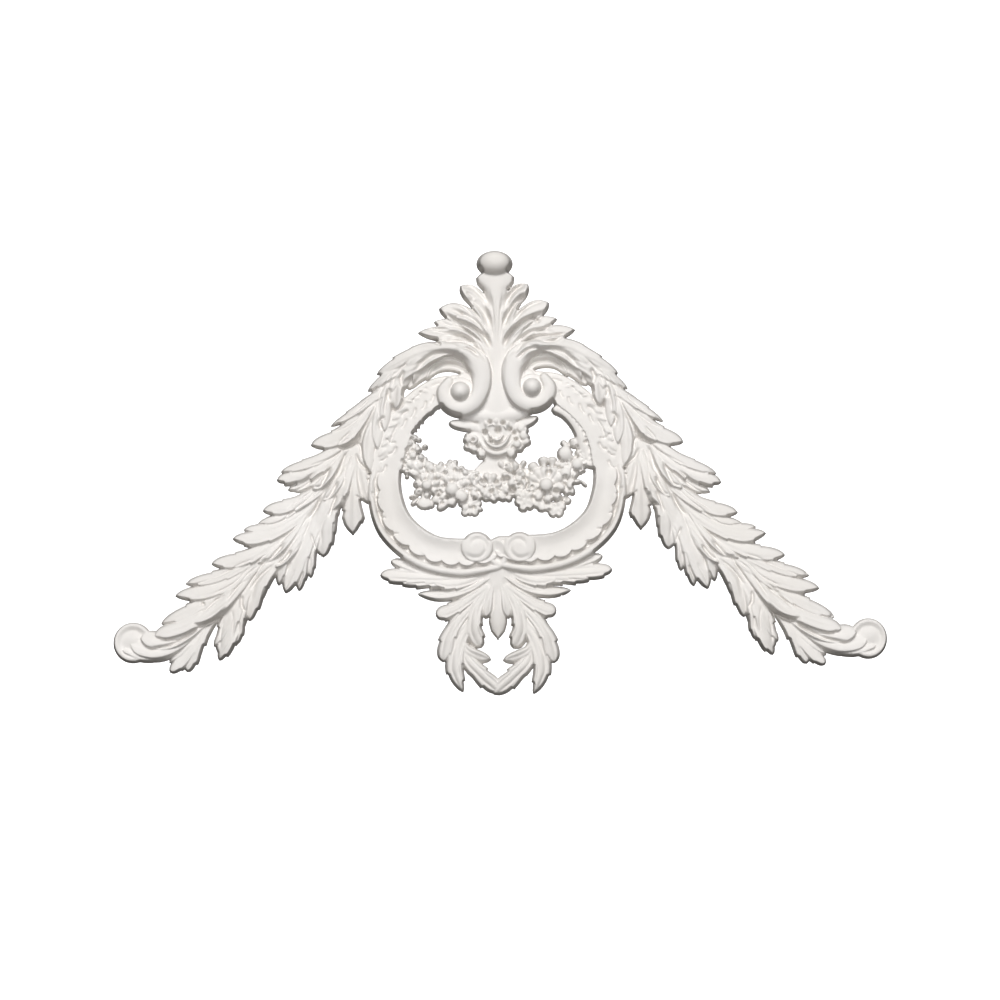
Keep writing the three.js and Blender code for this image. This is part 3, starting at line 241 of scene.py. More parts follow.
# petals and leaflets: root x, y, tip x, y, half width, height, drop, cup, tip
PETALS = [
    [427, 485, 421, 476, 4.2, 19],
    [429, 485, 433, 475, 4.4, 20],
    [431, 487, 440, 483, 4.2, 20],
    [431, 490, 438, 495, 4.0, 18],
    [423, 487, 413, 484, 4.0, 18],
    [423, 491, 414, 495, 3.6, 17],
    [427, 492, 427, 500, 3.6, 17],
    [421, 474, 414, 466, 4.0, 17],
    [430, 473, 427, 463, 4.4, 18],
    [436, 474, 441, 466, 4.0, 18],
    [441, 478, 449, 474, 3.8, 18],
    [417, 497, 409, 499, 2.6, 15],
    [418, 500, 411, 507, 2.6, 14],
    [425, 498, 425, 511.5, 6.5, 15, 6, 0.12, -2],
    [449, 485, 444, 478, 3.6, 19],
    [455, 485, 457, 477, 3.6, 19],
    [459, 488, 466, 483, 3.8, 19],
    [446, 495, 440, 501, 3.6, 17],
    [444, 500, 438, 507, 3.2, 15],
    [454, 499, 449, 508, 5.0, 17],
    [449, 503, 437, 511, 4.0, 15],
    [452, 470, 447, 463, 3.0, 16],
    [455, 469, 455.5, 460, 2.6, 16],
    [459, 472, 464, 467, 3.0, 17],
    [462, 477, 469, 474, 3.2, 18],
    [470, 486, 462, 482, 3.4, 18],
    [472, 484, 471, 476, 3.4, 19],
    [475, 485, 481, 478, 3.4, 19],
    [476, 489, 484, 491, 3.4, 18],
    [473, 491, 474, 499, 3.6, 18],
    [469, 490, 463, 493, 3.2, 18],
    [470, 507, 462, 511, 2.4, 13],
    [470, 506, 464, 502, 2.4, 12],
    [470, 508, 470, 517.5, 2.8, 13],
    [470, 507, 483, 511.5, 3.0, 13],
    [471, 505, 478, 502, 2.4, 12],
    [489, 484, 485, 475, 3.8, 19],
    [491, 484, 495, 475, 3.8, 19],
    [494, 487, 502, 485, 3.6, 19],
    [492, 490, 497, 498, 3.8, 19],
    [488, 490, 484, 499, 3.8, 19],
    [486, 487, 479, 484, 3.2, 19],
    [480, 494, 478, 502, 3.4, 16],
    [491, 496, 491, 503, 3.4, 16],
    [500, 494, 504, 502.5, 3.6, 17],
    [503, 488, 508, 495, 3.4, 18],
    [511, 473, 506, 465, 3.8, 19],
    [515, 472, 516, 463, 4.0, 19],
    [517, 476, 523, 472, 3.6, 19],
    [516, 479, 522, 483, 3.6, 19],
    [512, 480, 511, 489, 4.2, 20],
    [509, 477, 502, 476, 3.4, 19],
    [504, 470, 499, 462, 3.6, 16],
    [521, 469, 525, 461, 3.0, 15],
    [522, 491, 515, 498, 3.8, 17],
    [525, 492, 522, 501, 3.6, 17],
    [522, 499, 517, 507.5, 4.0, 15],
    [529, 496, 528, 509.5, 4.2, 16],
    [534, 496, 535.5, 508, 3.6, 15],
    [519, 488, 526, 486, 3.0, 18],
    [543, 482, 535, 471, 5.4, 19],
    [536, 474, 531, 463, 5, 16],
    [545, 481, 543, 468, 5.4, 20],
    [544, 467, 543, 457, 5, 17],
    [550, 481, 554, 469, 5.2, 20],
    [552, 467, 552.5, 457, 4.6, 17],
    [553, 484, 562, 476, 5.2, 19],
    [554, 489, 565, 489, 4.8, 20],
    [552, 494, 561, 501, 4.6, 19],
    [547, 496, 549, 504, 5.0, 19],
    [541, 494, 536, 502, 4.6, 19],
    [538, 488, 528, 489, 4.6, 19],
    [539, 483, 529, 478, 4.4, 19],
    [541, 503, 543, 513.5, 5.0, 15],
    [549, 505, 551, 513, 4.2, 15],
    [555, 505, 554, 517.5, 4.6, 14],
    [560, 503, 564, 512, 3.8, 14],
    [563, 499, 571, 504, 3.6, 14],
    [567, 484, 575, 483, 3.6, 18],
    [565, 489, 568, 497, 3.4, 17],
    [571, 487, 573, 497, 3.0, 15],
    [573, 484, 581, 482, 2.8, 15],
    [581, 482, 587, 488, 2.0, 12],
    [572, 472, 576, 480, 3.4, 18],
    [567, 468, 563, 480, 3.0, 17],
    [584, 464, 597, 467, 4.2, 17],
    [584, 458, 596, 455, 4.0, 17],
    [583, 453, 590, 446, 3.4, 16],
    [578, 449, 582, 441, 3.6, 17],
    [574, 447, 571, 439, 3.4, 17],
    [569, 448, 562.5, 443, 3.0, 14],
    [581, 456, 575, 452, 3.0, 17],
    [560, 462, 556, 468, 3.0, 15],
    [568, 463, 571, 471, 3.0, 16],
    [484, 427, 478, 420, 4.0, 18],
    [492, 424, 490, 415, 4.2, 19],
    [501, 424, 503, 414, 4.2, 19],
    [509, 427, 516, 420, 4.0, 18],
    [514, 431, 524, 428, 3.6, 18],
    [479, 431, 470, 428, 3.8, 17],
    [488, 430, 485, 423, 3.4, 22],
    [496, 428, 496, 420, 3.4, 23],
    [505, 430, 508, 423, 3.4, 22],
    [496, 410, 489, 404, 3.2, 19],
    [498, 411, 503, 405, 3.2, 19],
    [520, 432, 529, 431, 3.4, 18],
    [521, 437, 530, 439, 3.4, 18],
    [519, 442, 528, 446, 3.4, 17],
    [516, 447, 521, 453, 3.2, 17],
    [472, 437, 464, 437, 3.0, 18],
    [472, 443, 464, 444, 3.0, 18],
    [474, 448, 468, 452, 3.0, 17],
]
# raised lines: curve, half width, rise
RIDGES = [

]
# cut lines of the left half, mirrored for the right
PAIRED_CUTS = [
    [[461, 288.5, 470, 287.5, 479, 294.5, 489, 308], 3.0, 4.6],
    [[464, 300.5, 474, 303.5, 483.5, 314.5, 491, 331], 3.36, 5.2],
    [[467, 305, 479, 319, 489, 335], 1.1, 1.8],
    [[444, 304, 453, 304, 463, 308, 476, 320], 1.2, 1.8],
    [[444, 314, 455, 322, 470, 328, 482, 336, 492, 351], 2.31, 6.8],
    [[452, 325, 468, 333, 484, 347], 1.3, 2.4],
    [[424, 330, 436, 330, 450, 331], 1.4, 2.6],
    [[438, 338.5, 449, 336.5, 462, 338, 478, 346], 2.0, 4.0],
    [[441, 346.5, 452, 342.5, 466, 344, 478, 353, 488, 365], 2.2, 4.6],
    [[460, 350.5, 470, 352, 481, 361], 1.6, 3],
    [[431, 343, 436, 345, 442, 347], 1.6, 4],
    [[528.5, 286.5, 518.5, 288, 509.5, 297, 503, 313], 3.0, 4.6],
    [[527, 294, 516, 304, 508, 316, 503, 330], 2.4, 4.2],
    [[545, 302, 534, 305, 523, 312, 512, 325], 1.8, 3.0],
    [[545, 313, 533, 318, 521, 324, 510, 336, 503, 350], 2.1, 5.8],
    [[556, 324, 545, 330, 530, 333, 515, 345], 1.6, 3],
    [[567, 335, 552, 337, 537, 337, 520, 345], 1.6, 4.2],
    [[560, 343, 546, 343.5, 536, 341, 524, 345, 514, 356], 2.0, 4.6],
    [[540, 349, 528, 352, 516, 362], 1.8, 3.6],
    [[530, 317, 536, 321, 540, 324], 1.8, 3.5],
    [[528, 297, 524, 299, 519, 304], 1.8, 4],
    [[361, 433, 357, 443, 347, 448.5, 337, 449], 1.78, 6.8],
    [[351, 433, 344, 440, 338, 447], 0.9, 2.5],
    [[331, 468, 326, 479, 321, 488, 312, 490.5], 1.68, 6.8],
    [[316, 474, 305, 482, 292, 486, 279, 488], 1.47, 5.2],
    [[313, 482, 303, 489, 293, 493], 1.2, 4],
    [[338, 483, 333, 494, 328, 500, 323, 501.5], 1.68, 6.8],
    [[344.5, 498, 342, 506, 334, 513], 1.68, 6.3],
    [[356, 455, 358, 462, 364, 469, 371, 474], 1.47, 5.2],
    [[356, 497, 363, 503, 369, 506], 1.2, 4],
    [[319, 491, 306, 503, 290, 516, 280, 525], 1.1, 2.4],
    [[316, 489, 301, 502, 286, 511], 0.9, 1.8],
    [[321, 501, 312, 520, 301, 546, 294, 557], 1.1, 2.4],
    [[345, 452, 342, 465, 339, 480], 2.4, 2.6],
    [[372, 418, 366, 430, 361, 444], 1.1, 2.4],
    [[352, 455, 346, 470, 344, 490], 1.0, 2],
    [[285, 544, 277, 555, 269, 562, 258, 564.5], 1.89, 7.4],
    [[292, 552, 285, 562, 277, 567.5], 1.68, 6.8],
    [[228, 610, 217, 620, 205, 627, 193, 626.5], 1.89, 7.4],
    [[243, 597, 242, 606, 246, 615], 1.58, 5.2],
    [[258, 560, 240, 567, 222, 577, 200, 585, 182, 592], 1.1, 2.2],
    [[250, 570, 235, 585, 213, 597], 1.0, 2.2],
    [[262, 565, 248, 577, 236, 592, 226, 607], 1.2, 2.8],
    [[228, 592, 213, 606, 199, 619], 1.1, 2.4],
    [[275, 569, 264, 577, 258, 586], 0.9, 2],
    [[300, 545, 292, 560, 286, 576], 1.0, 2.0],
    [[259, 574, 255, 590, 252, 606], 2.2, 2.0],
    [[157, 637, 166, 642, 182, 642], 1.0, 2.6],
    [[204, 627, 186, 640, 170, 648, 150, 651], 1.78, 6.3],
    [[270, 555, 262, 568, 246, 590], 1.0, 2.0],
    [[330, 513, 322, 530, 322, 548], 1.1, 1.8],
    [[225, 620, 222, 635, 221, 650], 1.1, 1.8],
    [[233, 612, 234, 625, 233, 640], 1.0, 1.8],
    [[296, 570, 291, 580, 285, 592], 1.0, 2.0],
    [[471, 372, 462, 361, 447, 355.5, 432, 358, 421, 366, 414, 376], 2.73, 7.4],
    [[473, 384, 469, 374, 458, 366.5, 446, 365, 436, 368.5, 428, 377], 2.31, 6.3],
    [[304, 573, 300, 584, 296, 593], 1.2, 4],
    [[337, 497, 333, 508, 329, 520], 1.2, 4],
    [[322, 498, 315, 512, 308, 522], 1.58, 5.2],
    [[276, 565, 262, 577, 250, 592], 1.3, 4],
    [[352, 441, 360, 447, 362, 458], 1.3, 4],
    [[311, 535, 314, 545, 318, 556], 1.1, 3.4],
    [[404, 372, 401, 380, 402.5, 390], 1.89, 6.3],
    [[391, 390, 388.5, 396, 389.5, 404], 1.78, 6.3],
    [[391, 403, 394, 412, 400, 409, 404, 400], 1.47, 5.2],
    [[410, 362, 398, 374, 392, 389], 1.1, 2.8],
    [[400, 368, 390, 384, 386, 402, 384, 418], 1.1, 2.6],
    [[392, 374, 381, 394, 377, 415], 1.0, 2.4],
    [[385, 418, 380, 424, 382, 433], 1.68, 5.2],
    [[396, 356, 384, 366, 376, 376], 0.9, 2],
    [[381, 384, 368, 397, 358, 405], 1.0, 2.2],
    [[372, 398, 356, 414, 340, 424], 1.0, 2.2],
    [[368, 410, 352, 426, 330, 436], 1.0, 2.0],
    [[352, 445, 332, 459, 305, 470], 1.0, 2.2],
    [[442, 384.5, 437, 386, 431, 388.5], 1.4, 2.6],
    [[428, 389.5, 424, 391.5, 419, 396], 1.2, 2.4],
    [[421, 396, 416, 399, 412, 404], 1.2, 2.4],
    [[409, 412, 404, 415, 401, 419], 1.3, 2.8],
    [[434, 396, 433, 401, 430, 405], 1.4, 3.0],
    [[426, 402, 425, 408, 421, 412], 1.3, 3.0],
    [[416, 409, 414, 416, 410, 421], 1.3, 3.0],
    [[407, 420, 404, 427, 401, 431], 1.3, 2.8],
    [[400, 424, 394, 434, 390, 446], 1.1, 2.6],
    [[397, 448, 393, 455, 387, 457], 1.6, 3.5],
    [[385, 440, 391, 445, 397, 444], 1.3, 3],
    [[377, 475, 383, 474, 387, 466], 1.3, 3],
    [[376, 478, 374, 488, 378, 497], 1.2, 2.6],
    [[379, 463, 384, 462, 388, 458], 1.1, 2.6],
    [[372, 493, 375, 500, 380, 501], 1.3, 3.2],
    [[377, 512, 381, 519, 387, 521], 1.3, 3.2],
    [[385, 530, 391, 536, 400, 536], 1.3, 3.4],
    [[397, 544, 403, 549, 411, 549], 1.3, 3.4],
]
# the rosette's cupped petals: curve, half width, height
CUPS = [
    [[479, 441, 484, 450, 496, 455.5, 507, 452, 514, 442], 4.2, 20],
    [[483, 437, 488, 445.5, 497, 449, 505, 445, 510, 436], 3.4, 23],
    [[488, 434, 491.5, 440.5, 498, 442.5, 503.5, 437], 2.8, 25.5],
    [[487, 430, 491, 426.5, 496, 428], 2.6, 23],
    [[498, 427, 503, 427.5, 507, 432], 2.6, 23],
]
# drilled dots: x, y, radius, depth
DOTS = [
    [204, 606, 1.79, 5.4],
    [188, 583, 1.57, 4.7],
    [806, 574, 1.68, 5.4],
    [831, 617, 1.68, 5.4],
    [485, 434, 2.41, 12.8],
    [498, 432, 2.78, 12.8],
    [492, 442, 2.23, 11.1],
    [490, 424, 1.86, 9.2],
    [503, 425, 2.04, 11.1],
    [510, 431, 2.04, 11.1],
    [514, 434.5, 1.86, 9.2],
    [516, 441, 1.86, 9.2],
    [469, 433, 1.67, 7.3],
    [473, 442, 1.67, 9.2],
    [467, 447, 1.48, 7.3],
    [478, 448, 1.86, 11.1],
    [407, 452, 1.79, 6.8],
    [412.5, 452, 1.57, 5.4],
    [424, 452, 1.57, 5.4],
    [403, 463, 2.02, 6.8],
    [426, 481.5, 1.9, 5.4],
    [436, 481, 1.9, 5.4],
    [415, 487, 2.02, 6.8],
    [412, 493, 2.02, 6.8],
    [404, 493, 1.57, 4.1],
    [413, 500, 2.24, 6.8],
    [419, 494, 1.57, 5.4],
    [445, 468, 1.9, 5.4],
    [445, 475, 2.13, 6.8],
    [455, 472, 2.02, 5.4],
    [461, 473, 1.68, 5.4],
    [452, 483, 2.02, 5.4],
    [445, 488, 2.02, 6.8],
    [437, 494, 1.79, 6.8],
    [466, 492, 2.46, 8.1],
    [471, 488, 2.02, 6.8],
    [483.5, 483, 2.8, 10.8],
    [497, 484, 2.24, 9.5],
    [492, 493, 2.24, 9.5],
    [477, 479, 1.68, 5.4],
    [474, 509, 1.79, 6.8],
    [442, 505, 1.79, 5.4],
    [514, 475, 2.13, 8.1],
    [508, 480, 2.02, 6.8],
    [503, 481, 2.02, 6.8],
    [506, 468, 1.46, 4.1],
    [522, 487, 1.79, 6.8],
    [527, 482, 1.79, 5.4],
    [532, 489, 2.02, 6.8],
    [512.5, 491.5, 3.14, 10.8],
    [549, 474.5, 2.91, 8.1],
    [565, 479, 2.24, 6.8],
    [556, 493, 2.69, 8.1],
    [554, 502, 2.02, 6.8],
    [561, 500, 2.02, 6.8],
    [574, 457, 1.79, 5.4],
    [578, 458, 1.57, 5.4],
    [585, 444, 1.68, 5.4],
    [577, 448, 1.46, 5.4],
    [571, 449, 1.46, 4.1],
    [565, 500, 2.02, 6.8],
    [549, 512, 1.68, 5.4],
    [533, 500, 2.24, 6.8],
]
# cut lines: curve, half width, depth
CUTS = [
    [[461, 288.5, 470, 287.5, 479, 294.5, 489, 308], 3.0, 4.6],
    [[464, 300.5, 474, 303.5, 483.5, 314.5, 491, 331], 3.2, 5],
    [[467, 305, 479, 319, 489, 335], 1.1, 1.8],
    [[444, 304, 453, 304, 463, 308, 476, 320], 1.2, 1.8],
    [[444, 314, 455, 322, 470, 328, 482, 336, 492, 351], 2.2, 6.5],
    [[452, 325, 468, 333, 484, 347], 1.3, 2.4],
    [[424, 330, 436, 330, 450, 331], 1.4, 2.6],
    [[438, 338.5, 449, 336.5, 462, 338, 478, 346], 2.0, 4.0],
    [[441, 346.5, 452, 342.5, 466, 344, 478, 353, 488, 365], 2.2, 4.6],
    [[460, 350.5, 470, 352, 481, 361], 1.6, 3],
    [[431, 343, 436, 345, 442, 347], 1.6, 4],
    [[528.5, 286.5, 518.5, 288, 509.5, 297, 503, 313], 3.0, 4.6],
    [[527, 294, 516, 304, 508, 316, 503, 330], 2.4, 4.2],
    [[545, 302, 534, 305, 523, 312, 512, 325], 1.8, 3.0],
    [[545, 313, 533, 318, 521, 324, 510, 336, 503, 350], 2.0, 5.5],
    [[556, 324, 545, 330, 530, 333, 515, 345], 1.6, 3],
    [[567, 335, 552, 337, 537, 337, 520, 345], 1.6, 4.2],
    [[560, 343, 546, 343.5, 536, 341, 524, 345, 514, 356], 2.0, 4.6],
    [[540, 349, 528, 352, 516, 362], 1.8, 3.6],
    [[530, 317, 536, 321, 540, 324], 1.8, 3.5],
    [[528, 297, 524, 299, 519, 304], 1.8, 4],
    [[495.5, 352, 493.5, 318, 488, 287], 1.1, 1.8],
    [[498.5, 352, 500, 318, 504, 287], 1.1, 1.8],
    [[497, 346, 497, 318, 496.5, 292], 1.0, 1.2],
    [[494, 345, 490, 322, 482, 300], 1.0, 1.6],
    [[500, 345, 504, 322, 511, 300], 1.0, 1.6],
    [[489.5, 400, 491.5, 385, 490.5, 365, 485, 350, 474, 340], 1.3, 1.6],
    [[505.5, 398, 503.5, 385, 504.5, 365, 509, 350, 519, 340], 1.3, 1.6],
]
# how far the right half drifts from a true mirror image: x, y, dx, dy
DRIFT = [[664, 426, 0, -6], [684, 445, 0, -2], [717, 483, 3, 2], [730, 512, 8, 3], [760, 540, 5, -6], [781, 564, 2, -10], [816.5, 596, 0, -8.5], [832, 623, 2, -5], [880, 643, 6, -3], [840, 637, 0, -9], [853, 648, 3, -7], [862, 653, 6, -2], [641.5, 534, 1, -5], [648, 505, -2, -4], [670.5, 557, -3.5, -9], [713, 595, -0.5, -4], [744, 621, 0, -4], [774, 660, -1, -5], [779, 648, -3, -4], [804, 672, -1, -12], [821, 673, 3, -7], [617, 373, 0, 0], [598, 413, 5, -4], [608, 433, 3, -5], [616, 451, 1, -8], [624, 473, 0, -8], [615, 577, -1, -6], [577, 595, -8, -3], [559, 619, -3, -5], [551, 645, 4, 0], [553, 662, 5, 2], [534, 692, 3, 2], [506, 661, -1, 1], [512, 645, 0, 0], [500, 610, 0, 0], [534, 394, -2, -4], [549, 360, 0, -4], [517, 374, 0, -3], [600, 420, 2, -4], [606, 500, 1, -5], [584, 545, 2, -5], [533, 556, 0, -4], [596, 470, 0, 0], [585, 425, -1, -5], [560, 400, -1, -5]]
RING_PATH = [460, 384.5, 440, 391.5, 424, 401.5, 409, 415.5, 398.5, 432, 391, 452, 386, 474, 386, 501, 394, 525, 411, 543, 433, 555, 461, 559, 492, 557]
RING_WIDTH = [[0, 10], [0.07, 14.5], [0.14, 15.5], [0.22, 15.5], [0.3, 14], [0.38, 15], [0.46, 16], [0.54, 18], [0.62, 19], [0.7, 19], [0.8, 19], [0.9, 20], [1, 17]]


# ---- curves and profiles ----------------------------------------------------------------------
def curve(pts, n):
    """A centripetal Catmull-Rom curve through the points, at n stations."""
    p = np.array(pts, float).reshape(-1, 2)
    if len(p) == 2:
        t = np.linspace(0, 1, n)[:, None]
        return p[0] * (1 - t) + p[1] * t
    q = np.vstack([2 * p[0] - p[1], p, 2 * p[-1] - p[-2]])
    knots = np.concatenate([[0], np.cumsum(np.sqrt(np.linalg.norm(np.diff(q, axis=0), axis=1)))])
    ts = np.linspace(knots[1], knots[-2], n)
    k = np.clip(np.searchsorted(knots, ts, side="right") - 1, 1, len(q) - 3)
    t = ts[:, None]
    t0, t1, t2, t3 = (knots[k + i][:, None] for i in (-1, 0, 1, 2))
    p0, p1, p2, p3 = (q[k + i] for i in (-1, 0, 1, 2))
    a1 = (t1 - t) / (t1 - t0) * p0 + (t - t0) / (t1 - t0) * p1
    a2 = (t2 - t) / (t2 - t1) * p1 + (t - t1) / (t2 - t1) * p2
    a3 = (t3 - t) / (t3 - t2) * p2 + (t - t2) / (t3 - t2) * p3
    b1 = (t2 - t) / (t2 - t0) * a1 + (t - t0) / (t2 - t0) * a2
    b2 = (t3 - t) / (t3 - t1) * a2 + (t - t1) / (t3 - t1) * a3
    return (t2 - t) / (t2 - t1) * b1 + (t - t1) / (t2 - t1) * b2


def evenly(p, n):
    s = np.concatenate([[0], np.cumsum(np.linalg.norm(np.diff(p, axis=0), axis=1))])
    t = np.linspace(0, s[-1], n)
    return np.stack([np.interp(t, s, p[:, 0]), np.interp(t, s, p[:, 1])], 1)


def ramp(a):
    a = np.clip(a, 0, 1)
    return a * a * (3 - 2 * a)


def width_at(t, half, o):
    if "wa" in o:
        a = np.array(o["wa"])
        return np.interp(t, a[:, 0], a[:, 1])
    m, b, q, k, tip = o.get("m", .74), o.get("b", .5), o.get("q", .68), o.get("k", 2.), o.get("tip", .06)
    body = b + (1 - b) * np.sin(np.pi / 2 * np.clip(t / m, 0, 1))
    end = tip + (1 - tip) * np.clip(1 - np.clip((t - m) / (1 - m), 0, 1) ** k, 0, 1) ** q
    return half * np.where(t < m, body, end)


def height_at(t, h, o):
    mh = o.get("mh", .6)
    c = np.clip((t - mh) / (1 - mh), 0, 1) ** 2
    return np.where(t < mh, h[0] + (h[1] - h[0]) * ramp(t / mh), h[1] + (h[2] - h[1]) * c)


def blend_min(a, b, k):
    h = np.clip(.5 + .5 * (b - a) / k, 0, 1)
    return b * (1 - h) + a * h - k * h * (1 - h)


# ---- the height field -------------------------------------------------------------------------
XS = np.arange(104, 896 + STEP / 2, STEP)
YS = np.arange(242, 706 + STEP / 2, STEP)
EDGE = np.full((len(YS), len(XS)), -2.)      # how far inside the outline, in drawing units
TOP = np.full((len(YS), len(XS)), -1.)       # the carved face, before the side walls are cut


def window(a, b, c, d):
    i0, i1 = max(int((a - XS[0]) / STEP) - 1, 0), min(int((b - XS[0]) / STEP) + 2, len(XS))
    j0, j1 = max(int((c - YS[0]) / STEP) - 1, 0), min(int((d - YS[0]) / STEP) + 2, len(YS))
    x, y = np.meshgrid(XS[i0:i1], YS[j0:j1])
    return (slice(j0, j1), slice(i0, i1)), x, y


def raise_to(at, inside, top, drop, outline=True, slope=6.):
    """Adds a shape: its face stands `drop` mm above what is under its rim, with sides of a given slope."""
    face = blend_min(top, top - drop + slope * np.maximum(inside, 0) * UNIT, .8)
    TOP[at] = np.maximum(TOP[at], np.where(inside > 0, face, -1.))
    if outline:
        EDGE[at] = np.maximum(EDGE[at], inside)


def along(x, y, p):
    """Nearest place on a polyline: its share of the length, the signed distance, and the length."""
    best = np.full(x.shape, 1e18)
    t, d = np.zeros(x.shape), np.zeros(x.shape)
    seg = np.diff(p, axis=0)
    length = np.linalg.norm(seg, axis=1)
    start = np.concatenate([[0], np.cumsum(length)])
    for k in range(len(seg)):
        dx, dy = seg[k] / length[k]
        rx, ry = x - p[k, 0], y - p[k, 1]
        a = np.clip(rx * dx + ry * dy, 0, length[k])
        ex, ey = rx - a * dx, ry - a * dy
        d2 = ex * ex + ey * ey
        m = d2 < best
        best[m] = d2[m]
        t[m] = ((start[k] + a) / start[-1])[m]
        d[m] = (np.where(dx * ey - dy * ex >= 0, 1., -1.) * np.sqrt(d2))[m]
    return t, d, start[-1]


def lobe(pts, half, h, o, flip=1., n=22):
    p = evenly(curve(pts, 60), o.get("n", n))
    pad = (max(w for _, w in o["wa"]) if "wa" in o else half) * 1.05 + 3
    at, x, y = window(p[:, 0].min() - pad, p[:, 0].max() + pad, p[:, 1].min() - pad, p[:, 1].max() + pad)
    t, d, length = along(x, y, p)
    w = width_at(t, half, o)
    if o.get("saw"):
        # teeth that point to the tip, out of step on the two margins
        size, count = o["saw"]
        phase = t * count + np.where(d * flip > 0, .0, .45)
        w = w + size * ((phase % 1.) - .6) * ramp((t - .45) / .15) * ramp((1.02 - t) / .1)
    inside = w - np.abs(d)
    u = np.clip(d / np.maximum(w, .3), -1, 1) * flip
    lean = o.get("t", .2) * ramp((t - .2) / .5)
    top = height_at(t, h, o) * (1 - o.get("c", .24) * u * u - lean * u * (1 - .3 * np.abs(u)))
    ends = np.clip(t * 4, 0, 1) * np.clip((1 - t) * 5, 0, 1)
    # a dished face: hollow along the middle, with a rim on both sides
    if "dish" in o:
        top = top - o["dish"] * np.exp(-(u / .55) ** 2) * ends
    if o.get("v"):
        top = top - o["v"] * np.exp(-((u - o.get("vu", 0.)) / o.get("vw", .13)) ** 2) * ends
    for depth, place, wide in o.get("veins", ()):
        top = top - depth * np.exp(-((u - place) / wide) ** 2) * ends
    raise_to(at, inside, top, o.get("dr", 3.5), o.get("out", True), o.get("sl", 2.8))
    return at, inside, x, y


def dome(cx, cy, rx, ry, h, base=0., p=2., drop=0.):
    at, x, y = window(cx - rx - 3, cx + rx + 3, cy - ry - 3, cy + ry + 3)
    r = np.sqrt(((x - cx) / rx) ** 2 + ((y - cy) / ry) ** 2)
    d = (1 - r) * min(rx, ry)
    top = base + (h - base) * np.sqrt(np.clip(1 - r ** p, 0, 1))
    raise_to(at, d, top, drop)


def sink(cx, cy, r, depth):
    """A drilled dot: a small round pit."""
    at, x, y = window(cx - 3 * r, cx + 3 * r, cy - 3 * r, cy + 3 * r)
    TOP[at] -= depth * np.exp(-(((x - cx) ** 2 + (y - cy) ** 2) / r ** 2) ** 1.5) * (TOP[at] > 3)


def groove(pts, wide, depth, taper=.25, n=24):
    """A cut line with soft sides along a curve."""
    p = evenly(curve(pts, 60), n)
    at, x, y = window(p[:, 0].min() - 3 * wide, p[:, 0].max() + 3 * wide, p[:, 1].min() - 3 * wide, p[:, 1].max() + 3 * wide)
    t, d, _ = along(x, y, p)
    ends = np.clip(t / taper, 0, 1) * np.clip((1 - t) / taper, 0, 1) if taper else 1.
    TOP[at] -= depth * np.exp(-(d / wide) ** 2) * ends * (TOP[at] > 3)


def ridge(pts, wide, rise, taper=.25, n=24):
    groove(pts, wide, -rise, taper, n)


def petal(x0, y0, x1, y1, half, h, drop=7., cup=.3, tip=-2.5, n=8):
    """A small blunt petal or leaflet that lies on the swag."""
    lobe([x0, y0, .45 * x0 + .55 * x1, .45 * y0 + .55 * y1, x1, y1], half * 1.12, [h - 3, h, h + tip],
         {"m": .5, "b": .6, "q": .45, "k": 2.6, "c": cup, "t": 0, "dr": drop, "sl": 5.}, n=n)


def flower(cx, cy, r, n, turn, h, wf):
    for k in range(n):
        a = np.radians(turn + 360 * k / n)
        dx, dy = np.cos(a), -np.sin(a)
        w = r * np.sin(np.pi / n) * .62 * wf + .8
        lobe([cx + dx * r * .1, cy + dy * r * .1, cx + dx * r * .55, cy + dy * r * .55, cx + dx * r, cy + dy * r],
             w, [h, h + 1, h - 2], {"m": .62, "b": .7, "q": .5, "k": 2.4, "c": -.06, "t": 0, "v": 1.2, "vw": .5, "dr": 7., "sl": 5.}, n=8)


def mirrored(pts):
    """The left half turned over to the right, with the small drift of hand carving."""
    p = np.array(pts, float).reshape(-1, 2).copy()
    p[:, 0] = 2 * AXIS - p[:, 0]
    w = np.array(DRIFT, float)
    out = []
    for x, y in p:
        d2 = (w[:, 0] - x) ** 2 + (w[:, 1] - y) ** 2
        g = np.exp(-d2 / 968) + 1e-9 * np.exp(-d2 / 28800)
        g /= g.sum()
        out += [x + g @ w[:, 2], y + g @ w[:, 3]]
    return out


def ring(pts, flip):
    """The cartouche ring: inner fillet, hollow, scalloped lip and an outer strip; plain rounded arms above."""
    p = evenly(curve(pts, 120), 70)
    at, x, y = window(p[:, 0].min() - 24, p[:, 0].max() + 24, p[:, 1].min() - 24, p[:, 1].max() + 24)
    t, d, length = along(x, y, p)
    w = width_at(t, 1, {"wa": RING_WIDTH})
    inside = w - np.abs(d)
    u = np.clip(d / w, -1, 1) * flip
    s = t * length
    low = ramp((t - .40) / .1)
    # scallops 20 wide at the sides and 16.5 wide at the foot
    run = np.arange(0, 321.)
    turns = np.cumsum(1 / (20 - 3.5 * ramp((run - 185) / 45)))
    lip = .34 + .2 * np.abs(np.sin(np.pi * (np.interp(s, run, turns) - .2))) ** .7
    hollow = 19 + 5.5 * np.clip((u + .25) / .75, 0, 1) ** 2 + 4. * np.clip((-u - .25) / .6, 0, 1) ** 1.6
    k = np.clip((lip - u) * w / 1.6, 0, 1)
    strip = 14.5 + 6.5 * np.sqrt(np.clip(1 - ((u - .79) / .21) ** 2, 0, 1))
    face = strip * (1 - k) + np.maximum(hollow, 18) * k
    arm = 17 + 4 * np.clip(-u, 0, 1) - 2 * np.clip(u, 0, 1) ** 2
    top = arm * (1 - low) + face * low
    raise_to(at, inside, top, 0.)
    leaflets(p, flip, length)


